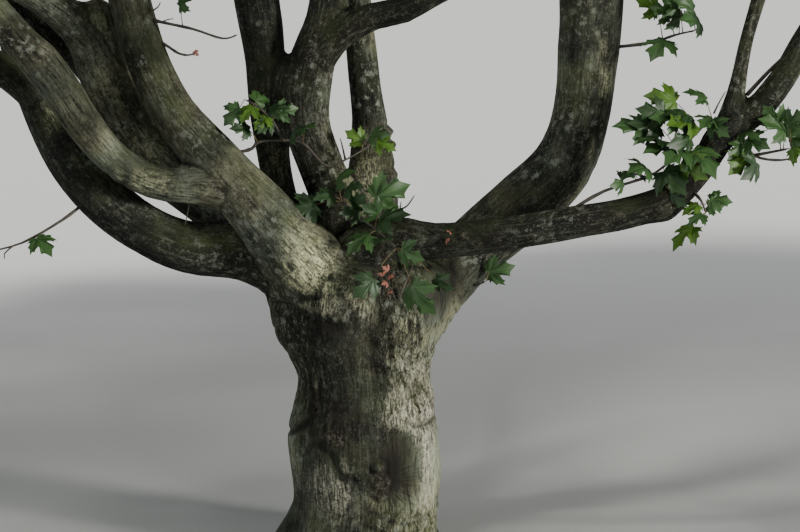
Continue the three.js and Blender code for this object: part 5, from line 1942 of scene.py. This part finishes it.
def bark_material():
    """Grey-green bark: mottled, streaked and speckled, with plates and lichen, and painted sunlit patches,
    highlights and shade in creases, folds and the hollow.
    """
    n = Nodes("bark_skin", 0.85)
    tint = BARK_TINTS
    grain, place = n.attribute("grain", "Vector"), n.place()
    names = ("tone", "dark", "hollow", "rough", "bend", "flaky", "knotty")
    tone, dark, hollow, rough, bend, flaky, knotty = (n.attribute(name) for name in names)
    streak, line, flake, wave = (
        n.pattern(n.stretched(grain, cell), 1, *rest) for cell, *rest in GRAIN_NOISE.values())
    patch, speckle, hue, moss, mottle, zone, blotch = (
        n.pattern(place, *row) for row in PLACE_NOISE.values())
    edge, shade = bark_plates(n, grain, place)
    rays = knot_wrinkles(n, place)
    height, up = n.part(place, "Z"), n.part(n.node("NewGeometry")["Normal"], "Z")
    hue, zone = n.between(hue, 0.42, 0.6), n.between(zone, 0.44, 0.6)
    spots = n.node("TexVoronoi", {"Vector": place, "Scale": LICHEN_SPOTS}, feature="F1")["Distance"]
    spots = n.between(n.plus(spots, speckle), 0.76, 0.68)
    flaked = n.plus(flaky, 0.25)
    lit = n.times(
        n.between(dark, 0.0, -0.5, 0.0, 0.96), n.between(speckle, 0.38, 0.57, 0.25, 1.0),
        n.between(flake, 0.41, 0.55, 0.3, 1.0), n.between(line, 0.4, 0.52, 0.15, 1.0))
    high = n.between(height, *SUN_TURNS)
    # The tone brings the bark's own warmth and painted sunlight and shade into the base colour
    warmth = n.plus(tone, n.times(n.less(patch, 0.5), 1.9))
    warmth = n.plus(warmth, n.times(n.less(shade, 0.5), flaky, 0.6))
    deep = n.blend(hue, tint["deep_green"], tint["deep_brown"])
    light = n.blend(hue, tint["light_green"], tint["light_brown"])
    colour = n.blend(n.between(warmth, 0.0, 1.25), deep, light)
    layers = [
        (n.between(streak, 0.52, 0.74, 0.0, 0.45), tint["pale_streak"]),
        (n.between(streak, 0.48, 0.35, 0.0, 0.85), tint["dark_streak"]),
        (n.between(line, 0.47, 0.36, 0.0, 0.6), tint["dark_line"]),
        (n.times(n.between(flake, 0.53, 0.64), flaked, 0.6), tint["flake"]),
        (n.times(n.between(flake, 0.47, 0.38), flaked, 0.7), tint["gap"]),
        (n.times(n.between(edge, 0.13, 0.03), flaky, 0.7), tint["crack"]),
        (n.between(speckle, 0.56, 0.7, 0.0, 0.5), tint["pale_speck"]),
        (n.between(speckle, 0.45, 0.32, 0.0, 0.6), tint["dark_speck"]),
        (n.times(n.between(up, -0.5, 0.7, 0.1, 0.7), n.between(moss, 0.42, 0.66)), tint["moss"]),
        (1.0, n.between(mottle, 0.38, 0.6, 0.5, 1.25), "MULTIPLY"),
        (n.times(n.between(blotch, 0.57, 0.64), zone, 0.6), tint["lichen"]),
        (n.times(spots, zone, 0.45), tint["lichen_spot"]),
        (lit, n.blend(high, tint["sun_low"], tint["sun_high"])),
        (n.times(lit, n.between(dark, -0.55, -0.95)), n.blend(high, tint["glare_low"], tint["glare_high"])),
        (n.times(n.between(wave, 0.5, 0.36), bend, 0.8), tint["wave"]),
        # Painted shade: limbs of low tone are darkened as a whole
        (1.0, n.between(tone, -0.05, 0.3, 0.7, 1.0), "MULTIPLY"),
        # Painted shade in the hollow
        (n.times(hollow, 0.65), tint["hollow"]),
        (n.times(n.between(rays, 0.52, 0.4), knotty, 0.5), tint["wrinkle"]),
        # The darkness: painted shade in creases, folds, grooves, the hollow and dark marks, and the dark of
        # the fissures
        (n.between(dark, 0.0, 1.0, 0.0, 0.94), tint["crease"]),
        (n.times(rough, n.between(speckle, 0.45, 0.6), 0.6), tint["scab"]),
    ]
    for share, shade, *kind in layers:
        colour = n.blend(share, colour, shade, *kind)
    n.feed("Base Color", colour)
    n.feed("Specular IOR Level", 0.2)
    n.bump([
        (streak, 0.007, 0.7),
        (n.times(flake, n.plus(flaky, 0.3)), 0.006, 0.7),
        (n.times(n.between(edge, 0.0, 0.16), flaky), 0.004, 0.8),
        (n.times(rays, knotty), 0.006, 0.8),
        (speckle, 0.0018, 0.5),
    ])
    return n.material


def twig_material(name, colour, lighter):
    """Plain thin bark of twigs, a little uneven."""
    n = Nodes(name, 0.7)
    share = n.between(n.pattern(n.place(), 40, 3), 0.35, 0.65)
    n.feed("Base Color", n.blend(share, colour, lighter))
    return n.material


def leaf_material(name, colour, roughness=0.48, veined=False):
    """A leaf green, a little uneven, with pale veins on the leaves of the sprigs."""
    n = Nodes(name, roughness)
    place = n.place()
    darker = tuple(0.74 * part for part in colour)
    share = n.between(n.pattern(place, 30 if veined else 3, 3), 0.3, 0.7)
    shade = n.blend(share, darker, colour)
    if veined:
        pale = tuple(min(1, 1.4 * part + 0.02) for part in colour)
        vein = n.between(n.attribute("off"), 0.014, 0.004)
        shade = n.blend(n.times(vein, 0.5), shade, pale)
        n.bump([(n.pattern(place, 160, 2), 0.0015, 0.3)])
    n.feed("Base Color", shade)
    n.feed("Specular IOR Level", 0.4)
    return n.material


# Stage, in metres

FLOOR = {"half": 260, "colour": (0.62, 0.62, 0.6, 1)}
SKY = {"Color": (0.9, 0.94, 1, 1), "Strength": 0.5}
# Suns: strength, colour, where each shines from, and how wide it is in degrees
SUNS = {
    "sun_high": (3.0, (1, 0.98, 0.94), (-6, -9, 16), 14),
    "sun_low": (4.4, (1, 0.97, 0.9), (9.6, -5.8, 1.2), 10),
    "sun_left": (0.8, (0.95, 0.98, 1), (-9, -6, 1.2), 24),
}
# The photo's view: from the front, a little above level
CAMERA = {"lens": 109.8, "sensor_width": 36, "clip_start": 0.1, "clip_end": 600}
CAMERA_PLACE = (0.085, -6.0406, 1.564)
CAMERA_TILT = 82


def add_object(name, data):
    """A new object in the scene."""
    made = bpy.data.objects.new(name, data)
    bpy.context.scene.collection.objects.link(made)
    return made


def set_stage():
    """A pale level floor and soft light from all sides."""
    half = FLOOR["half"]
    mesh = bpy.data.meshes.new("floor")
    corners = [(-half, -half, 0), (half, -half, 0), (half, half, 0), (-half, half, 0)]
    mesh.from_pydata(corners, [], [(0, 1, 2, 3)])
    paper = Nodes("floor_paper", 0.95)
    paper.feed("Base Color", FLOOR["colour"])
    mesh.materials.append(paper.material)
    floor = add_object("floor", mesh)
    world = bpy.context.scene.world or bpy.data.worlds.new("world")
    bpy.context.scene.world = world
    world.use_nodes = True
    for key, value in SKY.items():
        world.node_tree.nodes["Background"].inputs[key].default_value = value
    for name, (strength, colour, place, wide) in SUNS.items():
        light = bpy.data.lights.new(name, "SUN")
        light.energy, light.color, light.angle = strength, colour, math.radians(wide)
        lamp = add_object(name, light)
        lamp.location = place
        x, y, z = place
        lamp.rotation_euler = (math.atan2(math.hypot(x, y), z), 0, math.atan2(x, -y))


def set_camera():
    """A camera at the photo's view."""
    camera = bpy.data.cameras.new("photo_view")
    for key, value in CAMERA.items():
        setattr(camera, key, value)
    seen = add_object("photo_view", camera)
    seen.location = CAMERA_PLACE
    seen.rotation_euler = (math.radians(CAMERA_TILT), 0, 0)
    bpy.context.scene.camera = seen


masses = crown_masses()
limbs = grow_limbs(masses)
lines = limb_lines(limbs)
twig_bark = twig_material("twig_bark", (0.022, 0.019, 0.014), (0.062, 0.053, 0.04))
stalk_red = twig_material("stalk_red", (0.09, 0.05, 0.025), (0.13, 0.12, 0.04))
crown_greens = {
    name: leaf_material(f"crown_{name}", colour) for name, (colour, _) in CROWN_TINTS.items()
}
sprig_greens = {
    name: leaf_material(f"sprig_{name}", colour, 0.5, True) for name, colour in SPRIG_TINTS.items()
}
add_bark(limbs, bark_material())
add_sprigs(twig_bark, stalk_red, sprig_greens)
add_crown(masses, limbs, lines, twig_bark, crown_greens)
set_stage()
set_camera()
